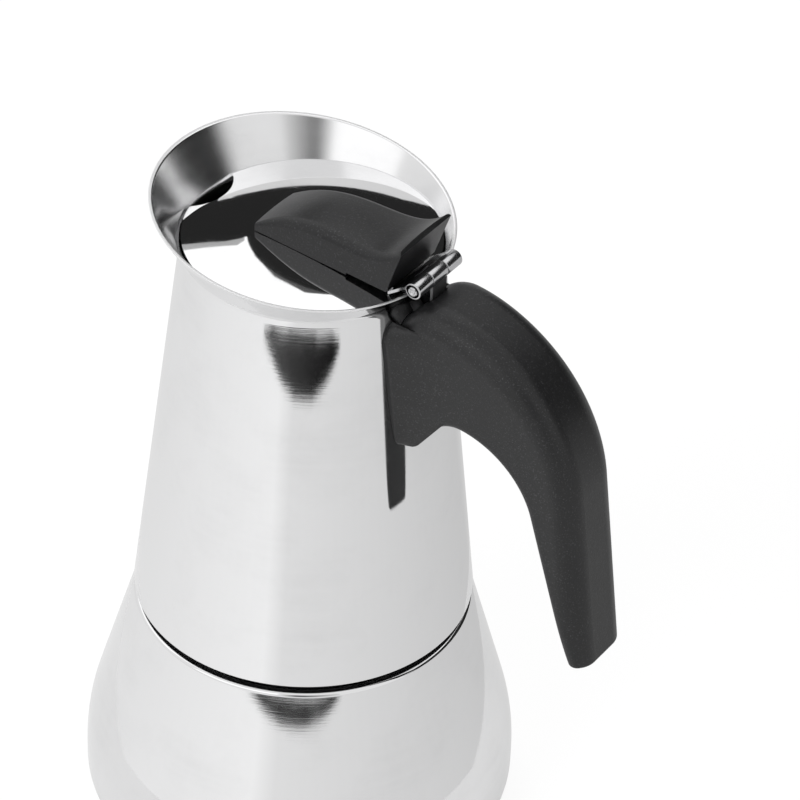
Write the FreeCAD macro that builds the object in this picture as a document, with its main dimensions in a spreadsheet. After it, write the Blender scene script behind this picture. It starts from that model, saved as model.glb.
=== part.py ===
"""Stovetop moka pot: boiler, funnel, seal, jug, hinged lid and handle.

Millimetres and degrees. The origin is the centre of the base's underside, +Z is up,
and +X points from the pot's axis to the handle. The pouring side is -X.
"""
import FreeCAD
import Part
import Sketcher
import math
import os
import re

# Driving dimensions
DIMENSIONS = {
    # Boiler, heights from the table
    "seam_height": 70.0,
    "seam_gap": 1.8,
    "boiler_radius": 55.5,
    "boiler_wall": 1.0,
    "belly_height": 15.0,
    "belly_arc": 61.0,
    "heel_radius": 8.0,
    "shoulder_radius": 42.9,
    "shoulder_round": 1.5,
    "neck_radius": 38.0,
    "neck_rise": 9.2,
    "base_radius": 46.0,
    "base_thickness": 3.0,
    "base_chamfer": 0.8,
    # Safety valve, heights outward from the boiler wall
    "valve_height": 38.0,
    "boss_radius": 7.0,
    "boss_inside": 3.0,
    "boss_outside": 1.2,
    "weld_gap": 0.05,
    "spigot_radius": 4.0,
    "spigot_reach": 1.5,
    "washer_radius": 6.0,
    "washer_thickness": 0.8,
    "hex_flats": 12.0,
    "hex_height": 5.0,
    "hex_chamfer": 0.8,
    "valve_bore": 2.4,
    "seat_bore": 1.4,
    "seat_thickness": 1.2,
    "cap_thickness": 1.0,
    "cap_hole": 0.9,
    "plunger_radius": 2.0,
    "plunger_disc": 1.0,
    "rod_radius": 0.7,
    "rod_reach": 2.0,
    "spring_radius": 1.6,
    "spring_wire": 0.4,
    "spring_turns": 5.0,
    # Funnel, heights below its flange
    "funnel_wall": 0.8,
    "flange_inset": 0.3,
    "cup_clearance": 0.8,
    "cup_depth": 19.0,
    "ledge_width": 2.0,
    "cone_depth": 14.0,
    "socket_depth": 6.0,
    "tube_radius": 5.0,
    "tube_wall": 0.7,
    "tube_floor_gap": 6.0,
    "sieve_thickness": 0.6,
    "sieve_clearance": 0.2,
    "hole_radius": 1.1,
    "sieve_pitch": 10.0,
    # Seal
    "gasket_thickness": 3.0,
    "gasket_inner": 29.5,
    "gasket_clearance": 0.3,
    "lip_width": 1.5,
    "lip_drop": 1.2,
    "plate_thickness": 0.6,
    "plate_clearance": 0.2,
    "plate_pitch": 8.0,
    # Jug, heights above the seam
    "jug_radius": 43.0,
    "jug_wall": 0.8,
    "jug_neck_radius": 31.7,
    "jug_neck_height": 103.8,
    "flare_angle": 31.0,
    "rim_height": 112.1,
    "rim_slope": 7.35,
    "thread_clearance": 0.3,
    "ring_wall": 1.0,
    "ring_inset": 0.6,
    "floor_thickness": 1.0,
    "floor_rise": 4.0,
    "floor_seat": 9.0,
    "column_radius": 6.5,
    "column_tip_radius": 5.2,
    "column_height": 58.0,
    "column_wall": 0.8,
    "column_collar": 5.0,
    "column_cap_fit": 0.15,
    "column_cap_overlap": 2.0,
    "column_cap_skirt": 5.0,
    "column_cap_dome": 4.0,
    "outlet_width": 4.0,
    "outlet_height": 3.4,
    "outlet_sill": 0.8,
    # Hinge
    "hinge_reach": 35.0,
    "hinge_height": 110.2,
    "hinge_length": 17.5,
    "knuckle_width": 5.8,
    "knuckle_gap": 0.2,
    "pin_radius": 1.0,
    "pin_fit": 0.05,
    "pin_proud": 0.3,
    "leaf_thickness": 0.7,
    "leaf_tilt": 37.0,
    "strap_slope": 1.3,
    "strap_bend_height": 101.0,
    "strap_foot_height": 86.0,
    "strap_drop": 4.3,
    "strap_thickness": 1.2,
    # Lid
    "lid_radius": 31.4,
    "lid_edge_height": 106.2,
    "lid_crown": 1.0,
    "lid_thickness": 0.8,
    "notch_radius": 11.4,
    "notch_depth": 5.2,
    "leaf_start": 17.0,
    "leaf_bend": 28.0,
    "leaf_gap": 0.06,
    "leaf_tongue_width": 13.0,
    # Knob, along X from the pot's axis and above the lid's crown
    "knob_seat_gap": 0.05,
    "knob_nose": -11.2,
    "knob_nose_height": 2.4,
    "knob_brow": -5.0,
    "knob_brow_height": 6.3,
    "knob_saddle": 8.0,
    "knob_saddle_height": 9.8,
    "knob_dip": 25.0,
    "knob_dip_height": 10.4,
    "knob_tab": 31.2,
    "knob_tab_height": 14.2,
    "knob_tip": 32.3,
    "knob_tip_height": 12.9,
    "knob_heel": 28.3,
    "knob_step": 16.4,
    "knob_step_height": 0.6,
    "knob_nose_width": 16.2,
    "knob_tab_width": 20.5,
    "knob_crown": 7.0,
    "knob_nose_round": 0.6,
    "knob_brow_round": 2.0,
    "knob_saddle_round": 2.6,
    "knob_dip_round": 2.2,
    "knob_tab_round": 1.4,
    "knob_screw_reach": 4.0,
    # Small screws and washers
    "screw_radius": 1.95,
    "screw_fit": 0.1,
    "screw_head_radius": 3.4,
    "screw_head_height": 2.2,
    "knob_screw_depth": 5.5,
    "knob_washer_radius": 4.6,
    "knob_washer_thickness": 0.8,
    # Handle, along X from the pot's axis and above the seam
    "handle_fit": 0.15,
    "handle_inside": 26.0,
    "handle_front_slope": 1.18,
    "handle_crest": 37.5,
    "handle_crest_height": 106.6,
    "handle_bend": 51.8,
    "handle_bend_height": 104.8,
    "handle_back": 82.5,
    "handle_back_height": 68.4,
    "handle_tip": 89.2,
    "handle_tip_inner": 83.9,
    "handle_tip_height": 20.3,
    "handle_belly": 71.0,
    "handle_belly_height": 60.6,
    "handle_arch": 51.3,
    "handle_arch_height": 76.8,
    "handle_notch": 44.2,
    "handle_notch_height": 74.4,
    "handle_lobe_height": 66.0,
    "handle_root_width": 21.5,
    "handle_tip_width": 20.0,
    "handle_round": 2.0,
    "handle_corner": 3.0,
    "handle_crest_round": 9.0,
    "handle_back_round": 6.0,
    "handle_tip_round": 0.9,
    "cavity_clearance": 0.4,
    "bracket_foot_height": 70.0,
    "bracket_top_height": 84.0,
    "bracket_thickness": 1.6,
    "bracket_width": 12.0,
    "tongue_reach": 51.0,
    "tongue_thickness": 2.0,
    "handle_screw_reach": 46.0,
    "handle_screw_seat": 79.0,
    "handle_screw_length": 8.0,
    "blind_depth": 1.0,
}

# Sizes that follow from the driving ones
DERIVED = {
    "shoulder_top": "seam_height - seam_gap",
    "rim_top": "seam_height + neck_rise",
    "boiler_floor": "base_thickness + boiler_wall",
    "arc_centre": "boiler_radius - belly_arc",
    "arc_to_shoulder": "hypot(shoulder_radius - arc_centre; shoulder_top - belly_height)",
    "flank_tilt": "atan2(shoulder_top - belly_height; shoulder_radius - arc_centre)"
    " - acos(belly_arc / arc_to_shoulder)",
    "valve_reach": "shoulder_radius + (shoulder_top - valve_height) * tan(flank_tilt)",
    "hex_base": "boss_outside + washer_thickness",
    "hex_top": "hex_base + hex_height",
    "spigot_end": "boss_inside + spigot_reach",
    "seat_level": "spigot_end - seat_thickness",
    "cup_radius": "neck_radius - boiler_wall - cup_clearance",
    "cone_bottom": "cup_depth + cone_depth",
    "tube_foot": "rim_top - boiler_floor - tube_floor_gap",
    "gasket_base": "neck_rise + funnel_wall",
    "floor_base": "gasket_base + gasket_thickness",
    "ring_radius": "neck_radius + thread_clearance",
    "gasket_outer": "ring_radius - gasket_clearance",
    "plate_radius": "gasket_inner - plate_clearance",
    "plate_base": "floor_base - lip_drop",
    "jug_taper": "(jug_radius - jug_neck_radius) / jug_neck_height",
    "jug_wall_across": "jug_wall * hypot(1; jug_taper)",
    "flare_slope": "tan(flare_angle)",
    "flare_wall_across": "jug_wall / cos(flare_angle)",
    "collar_top": "rim_height + jug_radius * tan(rim_slope)",
    "inner_neck_height": "jug_neck_height + (flare_wall_across - jug_wall_across)"
    " / (flare_slope + jug_taper)",
    "inner_neck_radius": "jug_radius - jug_wall_across - jug_taper * inner_neck_height",
    "floor_top": "floor_base + floor_rise",
    "dome_radius": "gasket_inner - floor_seat",
    "column_foot": "floor_top",
    "column_top": "column_foot + column_height",
    "barrel_radius": "pin_radius + pin_fit + leaf_thickness",
    "strap_top_height": "strap_bend_height - strap_drop",
    "bore_radius": "pin_radius + pin_fit",
    "lid_top": "lid_edge_height + lid_crown",
    "lid_arc": "(pow(lid_radius; 2) + pow(lid_crown; 2)) / (2 * lid_crown)",
    "leaf_start_base": "lid_top - pow(leaf_start; 2) / (2 * lid_arc) + leaf_gap",
    "leaf_bend_base": "lid_top - pow(leaf_bend; 2) / (2 * lid_arc) + leaf_gap",
    "knob_base": "lid_top + knob_seat_gap",
    "washer_top": "lid_top - lid_thickness"
    " - pow(knob_screw_reach + knob_washer_radius; 2) / (2 * lid_arc)",
    "washer_base": "washer_top - knob_washer_thickness",
    "screw_bore": "screw_radius + screw_fit",
    "hex_corner": "hex_flats / 2 / cos(30)",
    "bracket_slot": "bracket_width + 2 * cavity_clearance",
    "strap_slot": "knuckle_width + 2 * cavity_clearance",
    "tongue_base": "bracket_top_height - tongue_thickness",
}

FAR = 400.0
PLAIN_TOLERANCE = 1e-9
CORNER_TOLERANCE = 0.01

doc = FreeCAD.newDocument("moka_pot")
sizes = doc.addObject("Spreadsheet::Sheet", "Sizes")
for row, (alias, size) in enumerate(DIMENSIONS.items(), start=1):
    sizes.set("A%d" % row, alias)
    sizes.set("B%d" % row, str(size))
    sizes.setAlias("B%d" % row, alias)
doc.recompute()

parts = []


def bound(expression):
    """An expression in the names above, written out in the cells of the sheet."""

    def swap(match):
        word = match.group(0)
        if word in DERIVED:
            return "(" + bound(DERIVED[word]) + ")"
        return "Sizes." + word if word in DIMENSIONS else word

    return re.sub(r"[a-z][a-z_]*", swap, str(expression))


def value(expression):
    """The number that an expression gives now."""
    result = sizes.evalExpression(bound(expression))
    return float(getattr(result, "Value", result))


def bind(target, path, expression):
    target.setExpression(path, bound(expression))


def new_body(name, height="0"):
    """A body with its own label, lifted to a height of the pot."""
    body = doc.addObject("PartDesign::Body", name)
    body.Label = name
    body.Placement = FreeCAD.Placement(FreeCAD.Vector(0, 0, value(height)), FreeCAD.Rotation())
    bind(body, "Placement.Base.z", height)
    parts.append(body)
    return body


def new_sketch(body, name, plane):
    sketch = body.newObject("Sketcher::SketchObject", name)
    support = next(item for item in body.Origin.OriginFeatures if item.Role == plane)
    sketch.AttachmentSupport = (support, [""])
    sketch.MapMode = "FlatFace"
    return sketch


def pin_point(sketch, geometry, end, x, y):
    """Fix a point of the sketch at two expressions."""
    for kind, axis, expression in (("DistanceX", -2, x), ("DistanceY", -1, y)):
        size = value(expression)
        if abs(size) < PLAIN_TOLERANCE:
            sketch.addConstraint(Sketcher.Constraint("PointOnObject", geometry, end, axis))
            continue
        ends = (-1, 1, geometry, end) if size > 0 else (geometry, end, -1, 1)
        index = sketch.addConstraint(Sketcher.Constraint(kind, *ends, abs(size)))
        name = "%s_%d_%d" % (kind, geometry, end)
        sketch.renameConstraint(index, name)
        bind(sketch, "Constraints." + name, expression if size > 0 else "-(%s)" % expression)


def set_radius(sketch, geometry, expression):
    index = sketch.addConstraint(Sketcher.Constraint("Radius", geometry, value(expression)))
    name = "Radius_%d" % geometry
    sketch.renameConstraint(index, name)
    bind(sketch, "Constraints." + name, expression)


def arc_between(start, end, radius, turn):
    """An arc from start to end, turning left for 1 and right for -1, and its ends' numbers."""
    chord = end - start
    middle = (start + end) * 0.5
    rise = math.sqrt(max(radius**2 - (chord.Length / 2) ** 2, 0.0))
    left = FreeCAD.Vector(-chord.y, chord.x, 0).normalize()
    centre = middle + left * rise * turn
    first, last = (start, end) if turn > 0 else (end, start)
    angles = [math.atan2(point.y - centre.y, point.x - centre.x) for point in (first, last)]
    circle = Part.Circle(centre, FreeCAD.Vector(0, 0, 1), radius)
    arc = Part.ArcOfCircle(circle, angles[0], angles[1])
    return arc, (1, 2) if turn > 0 else (2, 1)


def outline(sketch, points):
    """A closed outline. A point (x, y) starts a line, and (x, y, radius, turn) starts an arc."""
    places = [FreeCAD.Vector(value(point[0]), value(point[1]), 0) for point in points]
    ends = []
    for index, point in enumerate(points):
        start, end = places[index], places[(index + 1) % len(places)]
        if len(point) == 2:
            geometry = sketch.addGeometry(Part.LineSegment(start, end))
            ends.append((geometry, 1, 2))
        else:
            arc, order = arc_between(start, end, value(point[2]), point[3])
            geometry = sketch.addGeometry(arc)
            ends.append((geometry, *order))
    for index, (geometry, start, end) in enumerate(ends):
        after, after_start, _ = ends[(index + 1) % len(ends)]
        sketch.addConstraint(Sketcher.Constraint("Coincident", geometry, end, after, after_start))
        pin_point(sketch, geometry, start, *points[index][:2])
        if len(points[index]) > 2:
            set_radius(sketch, geometry, points[index][2])


def heading(start, end):
    """The direction from one point of an outline to another, as an expression."""
    return "atan2(%s - (%s); %s - (%s))" % (end[1], start[1], end[0], start[0])


def swept(start, end, swing):
    """The start of an arc to end, whose chord swings by an angle from the arc's tangent."""
    chord = "hypot(%s - (%s); %s - (%s))" % (end[0], start[0], end[1], start[1])
    side = 1 if value("sin(%s)" % swing) > 0 else -1
    return (*start, "%s / (2 * abs(sin(%s)))" % (chord, swing), side)


def circle(sketch, x, y, radius):
    centre = FreeCAD.Vector(value(x), value(y), 0)
    geometry = sketch.addGeometry(Part.Circle(centre, FreeCAD.Vector(0, 0, 1), value(radius)))
    pin_point(sketch, geometry, 3, x, y)
    set_radius(sketch, geometry, radius)


def turned(body, name, points, kind="PartDesign::Revolution"):
    """A solid of revolution about the pot's axis, or a groove cut the same way."""
    sketch = new_sketch(body, name + "_profile", "XZ_Plane")
    outline(sketch, points)
    feature = body.newObject(kind, name)
    feature.Profile = sketch
    feature.ReferenceAxis = (sketch, ["V_Axis"])
    feature.Angle = 360.0
    return feature


def across(body, name, kind, sketch, width):
    """A pad or pocket of a given width, half to each side of its sketch."""
    feature = body.newObject(kind, name)
    feature.Profile = sketch
    feature.SideType = "Symmetric"
    bind(feature, "Length", width)
    return feature


def bored(body, name, plane, holes):
    """Round holes through the whole body, square to a plane."""
    sketch = new_sketch(body, name + "_holes", plane)
    for hole in holes:
        circle(sketch, *hole)
    return across(body, name, "PartDesign::Pocket", sketch, FAR)


def dress(body, name, kind, base, edges, size, expression):
    """A fillet or chamfer on chosen edges of the feature before it."""
    feature = body.newObject(kind, name)
    feature.Base = (base, edges)
    bind(feature, size, expression)
    return feature


def edges_where(feature, test):
    doc.recompute()
    edges = feature.Shape.Edges
    return ["Edge%d" % (number + 1) for number, edge in enumerate(edges) if test(edge)]


def ring_edges(feature, radius, height):
    """Names of the circular edges about the axis at a radius and a height."""

    def on_ring(edge):
        points = [vertex.Point for vertex in edge.Vertexes]
        return bool(points) and all(
            abs(math.hypot(point.x, point.y) - value(radius)) < 0.01
            and abs(point.z - value(height)) < 0.01
            for point in points
        )

    return edges_where(feature, on_ring)


def pattern(body, name, original, sketch, count):
    """Repeat a feature round the sketch's own axis."""
    feature = body.newObject("PartDesign::PolarPattern", name)
    feature.Originals = [original]
    feature.Axis = (sketch, ["N_Axis"])
    feature.Angle = 360.0
    feature.Occurrences = count
    body.Tip = feature
    return feature


def perforate(body, pitch):
    """A centre hole and three rings of holes, six more in each ring."""
    bored(body, "centre", "XY_Plane", [("0", "0", "hole_radius")])
    for ring in (1, 2, 3):
        sketch = new_sketch(body, "ring_%d_hole" % ring, "XY_Plane")
        circle(sketch, "%d * %s" % (ring, pitch), "0", "hole_radius")
        hole = across(body, "ring_%d" % ring, "PartDesign::Pocket", sketch, FAR)
        pattern(body, "ring_%d_all" % ring, hole, sketch, 6 * ring)


def disc(body, name, radius, base, thickness):
    top = "%s + %s" % (base, thickness)
    return turned(body, name, [("0", base), (radius, base), (radius, top), ("0", top)])


def ring(body, name, inner, outer, base, top):
    return turned(body, name, [(inner, base), (outer, base), (outer, top), (inner, top)])


def jug_outside(height):
    return "(jug_radius - jug_taper * (%s))" % height


def jug_inside(height):
    return "(jug_radius - jug_wall_across - weld_gap - jug_taper * (%s))" % height


def trim_to_jug(body, name, gap, collar):
    """Cut away what lies inside the jug's outer face, with or without its collar."""
    points = [
        ("0", "0"),
        ("jug_radius + " + gap, "0"),
        ("jug_neck_radius + " + gap, "jug_neck_height"),
    ]
    if collar:
        flare = "flare_slope * (collar_top - jug_neck_height)"
        points.append(("jug_neck_radius + %s + %s" % (gap, flare), "collar_top"))
        points.append(("0", "collar_top"))
    else:
        points.append(("0", "jug_neck_height"))
    return turned(body, name, points, "PartDesign::Groove")


def on_valve_axis(item, depth="0"):
    """Stand an object on the boiler's flank, square to it, at a depth inside the wall."""
    reach = "valve_reach - (%s) * cos(flank_tilt)" % depth
    height = "valve_height - (%s) * sin(flank_tilt)" % depth
    turn = FreeCAD.Rotation(FreeCAD.Vector(-1, 0, 0), value("90 deg - flank_tilt"))
    item.Placement = FreeCAD.Placement(FreeCAD.Vector(0, value(reach), value(height)), turn)
    bind(item, "Placement.Base.y", reach)
    bind(item, "Placement.Base.z", height)
    bind(item, "Placement.Rotation.Angle", "90 deg - flank_tilt")


def shift_along_x(body, reach):
    body.Placement.Base.x = value(reach)
    bind(body, "Placement.Base.x", reach)


def make_boiler():
    """Drawn shell with a rounded heel, conical flank, shoulder and neck, open for the valve."""
    drawn = doc.addObject("PartDesign::Body", "boiler_drawn")
    shell = turned(
        drawn,
        "shell",
        [
            ("0", "base_thickness"),
            ("boiler_radius - heel_radius", "base_thickness", "heel_radius", 1),
            ("boiler_radius", "base_thickness + heel_radius"),
            ("boiler_radius", "belly_height", "belly_arc", 1),
            ("arc_centre + belly_arc * cos(flank_tilt)", "belly_height + belly_arc * sin(flank_tilt)"),
            ("shoulder_radius", "shoulder_top"),
            ("neck_radius", "shoulder_top"),
            ("neck_radius", "rim_top"),
            ("neck_radius - boiler_wall", "rim_top"),
            ("neck_radius - boiler_wall", "shoulder_top - boiler_wall"),
            (
                "shoulder_radius - boiler_wall * (1 - sin(flank_tilt)) / cos(flank_tilt)",
                "shoulder_top - boiler_wall",
            ),
            (
                "arc_centre + (belly_arc - boiler_wall) * cos(flank_tilt)",
                "belly_height + (belly_arc - boiler_wall) * sin(flank_tilt)",
                "belly_arc - boiler_wall",
                -1,
            ),
            ("boiler_radius - boiler_wall", "belly_height"),
            (
                "boiler_radius - boiler_wall",
                "base_thickness + heel_radius",
                "heel_radius - boiler_wall",
                -1,
            ),
            ("boiler_radius - heel_radius", "boiler_floor"),
            ("0", "boiler_floor"),
        ],
    )
    edges = ring_edges(shell, "shoulder_radius", "shoulder_top")
    dress(drawn, "shoulder", "PartDesign::Fillet", shell, edges, "Radius", "shoulder_round")
    opening = doc.addObject("Part::Cylinder", "valve_opening")
    bind(opening, "Radius", "boss_radius + weld_gap")
    bind(opening, "Height", "spigot_end + hex_top")
    on_valve_axis(opening, "spigot_end")
    cut = doc.addObject("Part::Cut", "boiler_shell")
    cut.Label = "boiler_shell"
    cut.Base = drawn
    cut.Tool = opening
    parts.append(cut)


def make_base_disc():
    body = new_body("base_disc")
    plate = disc(body, "plate", "base_radius", "0", "base_thickness")
    edges = ring_edges(plate, "base_radius", "0")
    dress(body, "lower_edge", "PartDesign::Chamfer", plate, edges, "Size", "base_chamfer")


def make_valve():
    """Welded boss, washer, hexagon body, spring cap, plunger and spring."""
    boss = new_body("valve_boss")
    ring(boss, "bush", "spigot_radius + weld_gap", "boss_radius", "-boss_inside", "boss_outside")
    washer = new_body("valve_washer")
    ring(washer, "washer", "spigot_radius + weld_gap", "washer_radius", "boss_outside", "hex_base")
    body = new_body("valve_body")
    turned(
        body,
        "blank",
        [
            ("seat_bore", "-spigot_end"),
            ("spigot_radius", "-spigot_end"),
            ("spigot_radius", "hex_base"),
            ("hex_corner", "hex_base"),
            ("hex_corner", "hex_top - hex_chamfer"),
            ("hex_flats / 2", "hex_top"),
            ("valve_bore", "hex_top"),
            ("valve_bore", "-seat_level"),
            ("seat_bore", "-seat_level"),
        ],
    )
    flats = new_sketch(body, "flats", "XY_Plane")
    circle(flats, "0", "0", "2 * hex_flats")
    corners = range(0, 360, 60)
    outline(flats, [("hex_corner * cos(%d)" % turn, "hex_corner * sin(%d)" % turn) for turn in corners])
    across(body, "hexagon", "PartDesign::Pocket", flats, FAR)
    cap = new_body("valve_cap")
    ring(cap, "cap", "cap_hole", "valve_bore - weld_gap", "hex_top - cap_thickness", "hex_top")
    plunger = new_body("valve_plunger")
    turned(
        plunger,
        "plunger",
        [
            ("0", "-seat_level"),
            ("plunger_radius", "-seat_level"),
            ("plunger_radius", "plunger_disc - seat_level"),
            ("rod_radius", "plunger_disc - seat_level"),
            ("rod_radius", "hex_top + rod_reach - rod_radius", "rod_radius", 1),
            ("0", "hex_top + rod_reach"),
        ],
    )
    for item in (boss, washer, body, cap, plunger):
        on_valve_axis(item)
    make_valve_spring()


def make_valve_spring():
    """Open coil between the plunger's disc and the cap, one arc to each quarter turn."""
    radius = value("spring_radius")
    wire = value("spring_wire")
    low = value("plunger_disc - seat_level") + wire / 2
    high = value("hex_top - cap_thickness") - wire / 2
    quarters = int(4 * value("spring_turns"))

    def on_coil(quarter):
        turn = math.pi / 2 * quarter
        height = low + (high - low) * quarter / quarters
        return FreeCAD.Vector(radius * math.cos(turn), radius * math.sin(turn), height)

    arcs = [
        Part.Arc(on_coil(quarter), on_coil(quarter + 0.5), on_coil(quarter + 1))
        for quarter in range(quarters)
    ]
    path = Part.Wire([arc.toShape() for arc in arcs])
    start = arcs[0].value(arcs[0].FirstParameter)
    heading = arcs[0].tangent(arcs[0].FirstParameter)[0]
    section = Part.Wire([Part.Circle(start, heading, wire / 2).toShape()])
    coil = doc.addObject("Part::Feature", "valve_spring")
    coil.Label = "valve_spring"
    coil.Shape = path.makePipeShell([section], True, False)
    on_valve_axis(coil)
    turn_gaps = [
        on_coil(step / 4).distanceToPoint(on_coil(step / 4 + 4)) - wire for step in range(4 * quarters - 15)
    ]
    print("valve_spring least gap to itself: %.2f mm" % min(turn_gaps))
    parts.append(coil)


def make_funnel():
    """Coffee basket with flange, ledge, cone and socket, its riser tube and its sieve."""
    cup = new_body("funnel_cup", "rim_top")
    turned(
        cup,
        "cup",
        [
            ("tube_radius + weld_gap", "-cone_bottom - socket_depth"),
            ("tube_radius + weld_gap + funnel_wall", "-cone_bottom - socket_depth"),
            ("tube_radius + weld_gap + funnel_wall", "-cone_bottom"),
            ("cup_radius - ledge_width", "-cup_depth - funnel_wall"),
            ("cup_radius", "-cup_depth - funnel_wall"),
            ("cup_radius", "0"),
            ("neck_radius - flange_inset", "0"),
            ("neck_radius - flange_inset", "funnel_wall"),
            ("cup_radius - funnel_wall", "funnel_wall"),
            ("cup_radius - funnel_wall", "-cup_depth"),
            ("cup_radius - funnel_wall - ledge_width", "-cup_depth"),
            ("tube_radius + weld_gap", "-cone_bottom"),
        ],
    )
    tube = new_body("funnel_tube", "rim_top")
    ring(tube, "tube", "tube_radius - tube_wall", "tube_radius", "-tube_foot", "-cone_bottom")
    sieve = new_body("basket_sieve", "rim_top")
    disc(sieve, "plate", "cup_radius - funnel_wall - sieve_clearance", "-cup_depth", "sieve_thickness")
    perforate(sieve, "sieve_pitch")


def make_seal():
    """Gasket with an inner lip, and the filter plate that rests on the lip."""
    gasket = new_body("gasket", "seam_height")
    turned(
        gasket,
        "gasket",
        [
            ("gasket_inner - lip_width", "gasket_base"),
            ("gasket_outer", "gasket_base"),
            ("gasket_outer", "floor_base"),
            ("gasket_inner", "floor_base"),
            ("gasket_inner", "plate_base"),
            ("gasket_inner - lip_width", "plate_base"),
        ],
    )
    plate = new_body("filter_plate", "seam_height")
    disc(plate, "plate", "plate_radius", "plate_base", "plate_thickness")
    perforate(plate, "plate_pitch")


def make_jug():
    """Conical shell with a flared collar cut on the slant, its thread ring and its floor."""
    shell = new_body("jug_shell", "seam_height")
    flare = "flare_slope * (collar_top - jug_neck_height)"
    turned(
        shell,
        "shell",
        [
            ("jug_radius", "0"),
            ("jug_neck_radius", "jug_neck_height"),
            ("jug_neck_radius + " + flare, "collar_top"),
            ("jug_neck_radius - flare_wall_across + " + flare, "collar_top"),
            ("inner_neck_radius", "inner_neck_height"),
            ("jug_radius - jug_wall_across", "0"),
        ],
    )
    slant = new_sketch(shell, "slant", "XZ_Plane")
    run = "2 * jug_radius"
    drop = "2 * jug_radius * tan(rim_slope)"
    outline(
        slant,
        [
            ("-" + run, "rim_height + " + drop),
            (run, "rim_height - " + drop),
            (run, "rim_height + 3 * jug_radius"),
            ("-" + run, "rim_height + 3 * jug_radius"),
        ],
    )
    across(shell, "slanted_rim", "PartDesign::Pocket", slant, FAR)
    thread = new_body("thread_ring", "seam_height")
    turned(
        thread,
        "ring",
        [
            ("ring_radius", "ring_inset"),
            (jug_inside("ring_inset"), "ring_inset"),
            (jug_inside("ring_inset + ring_wall"), "ring_inset + ring_wall"),
            ("ring_radius + ring_wall", "ring_inset + ring_wall"),
            ("ring_radius + ring_wall", "floor_base"),
            ("ring_radius", "floor_base"),
        ],
    )
    floor = new_body("jug_floor", "seam_height")
    turned(
        floor,
        "floor",
        [
            ("column_radius + weld_gap", "floor_top"),
            ("dome_radius", "floor_top"),
            ("gasket_inner - lip_width", "floor_base"),
            (jug_inside("floor_base"), "floor_base"),
            (jug_inside("floor_base + floor_thickness"), "floor_base + floor_thickness"),
            ("gasket_inner - lip_width", "floor_base + floor_thickness"),
            ("dome_radius", "floor_top + floor_thickness"),
            ("column_radius + weld_gap", "floor_top + floor_thickness"),
        ],
    )


def make_column():
    """Tapered rising tube and its domed cap with an outlet on each side."""
    tube = new_body("column_tube", "seam_height")
    turned(
        tube,
        "tube",
        [
            ("column_radius - column_wall", "column_foot"),
            ("column_radius", "column_foot"),
            ("column_radius", "column_foot + column_collar"),
            ("column_tip_radius", "column_top"),
            ("column_tip_radius - column_wall", "column_top"),
            ("column_radius - column_wall", "column_foot + column_collar"),
        ],
    )
    cap = new_body("column_cap", "seam_height")
    inner = "(column_tip_radius + column_cap_fit)"
    outer = "(column_tip_radius + column_cap_fit + column_wall)"
    inner_dome = "(column_cap_dome - column_wall)"
    skirt_top = "column_top + column_cap_skirt"
    turned(
        cap,
        "cap",
        [
            (inner, "column_top - column_cap_overlap"),
            (outer, "column_top - column_cap_overlap"),
            (
                outer,
                skirt_top,
                "(pow(%s; 2) + pow(column_cap_dome; 2)) / (2 * column_cap_dome)" % outer,
                1,
            ),
            ("0", skirt_top + " + column_cap_dome"),
            (
                "0",
                skirt_top + " + " + inner_dome,
                "(pow(%s; 2) + pow(%s; 2)) / (2 * %s)" % (inner, inner_dome, inner_dome),
                -1,
            ),
            (inner, skirt_top),
        ],
    )
    outlets = new_sketch(cap, "outlets", "XZ_Plane")
    sill = "column_top + outlet_sill"
    outline(
        outlets,
        [
            ("-outlet_width / 2", sill),
            ("outlet_width / 2", sill),
            ("outlet_width / 2", sill + " + outlet_height"),
            ("-outlet_width / 2", sill + " + outlet_height"),
        ],
    )
    across(cap, "side_outlets", "PartDesign::Pocket", outlets, FAR)


def barrel_point(turn):
    """A point on the hinge barrel's outside, as far round as the angle says."""
    return (
        "hinge_reach + barrel_radius * cos(%s)" % turn,
        "hinge_height + barrel_radius * sin(%s)" % turn,
    )


def barrel_arc(turn):
    return (*barrel_point(turn), "barrel_radius", 1)


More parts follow.
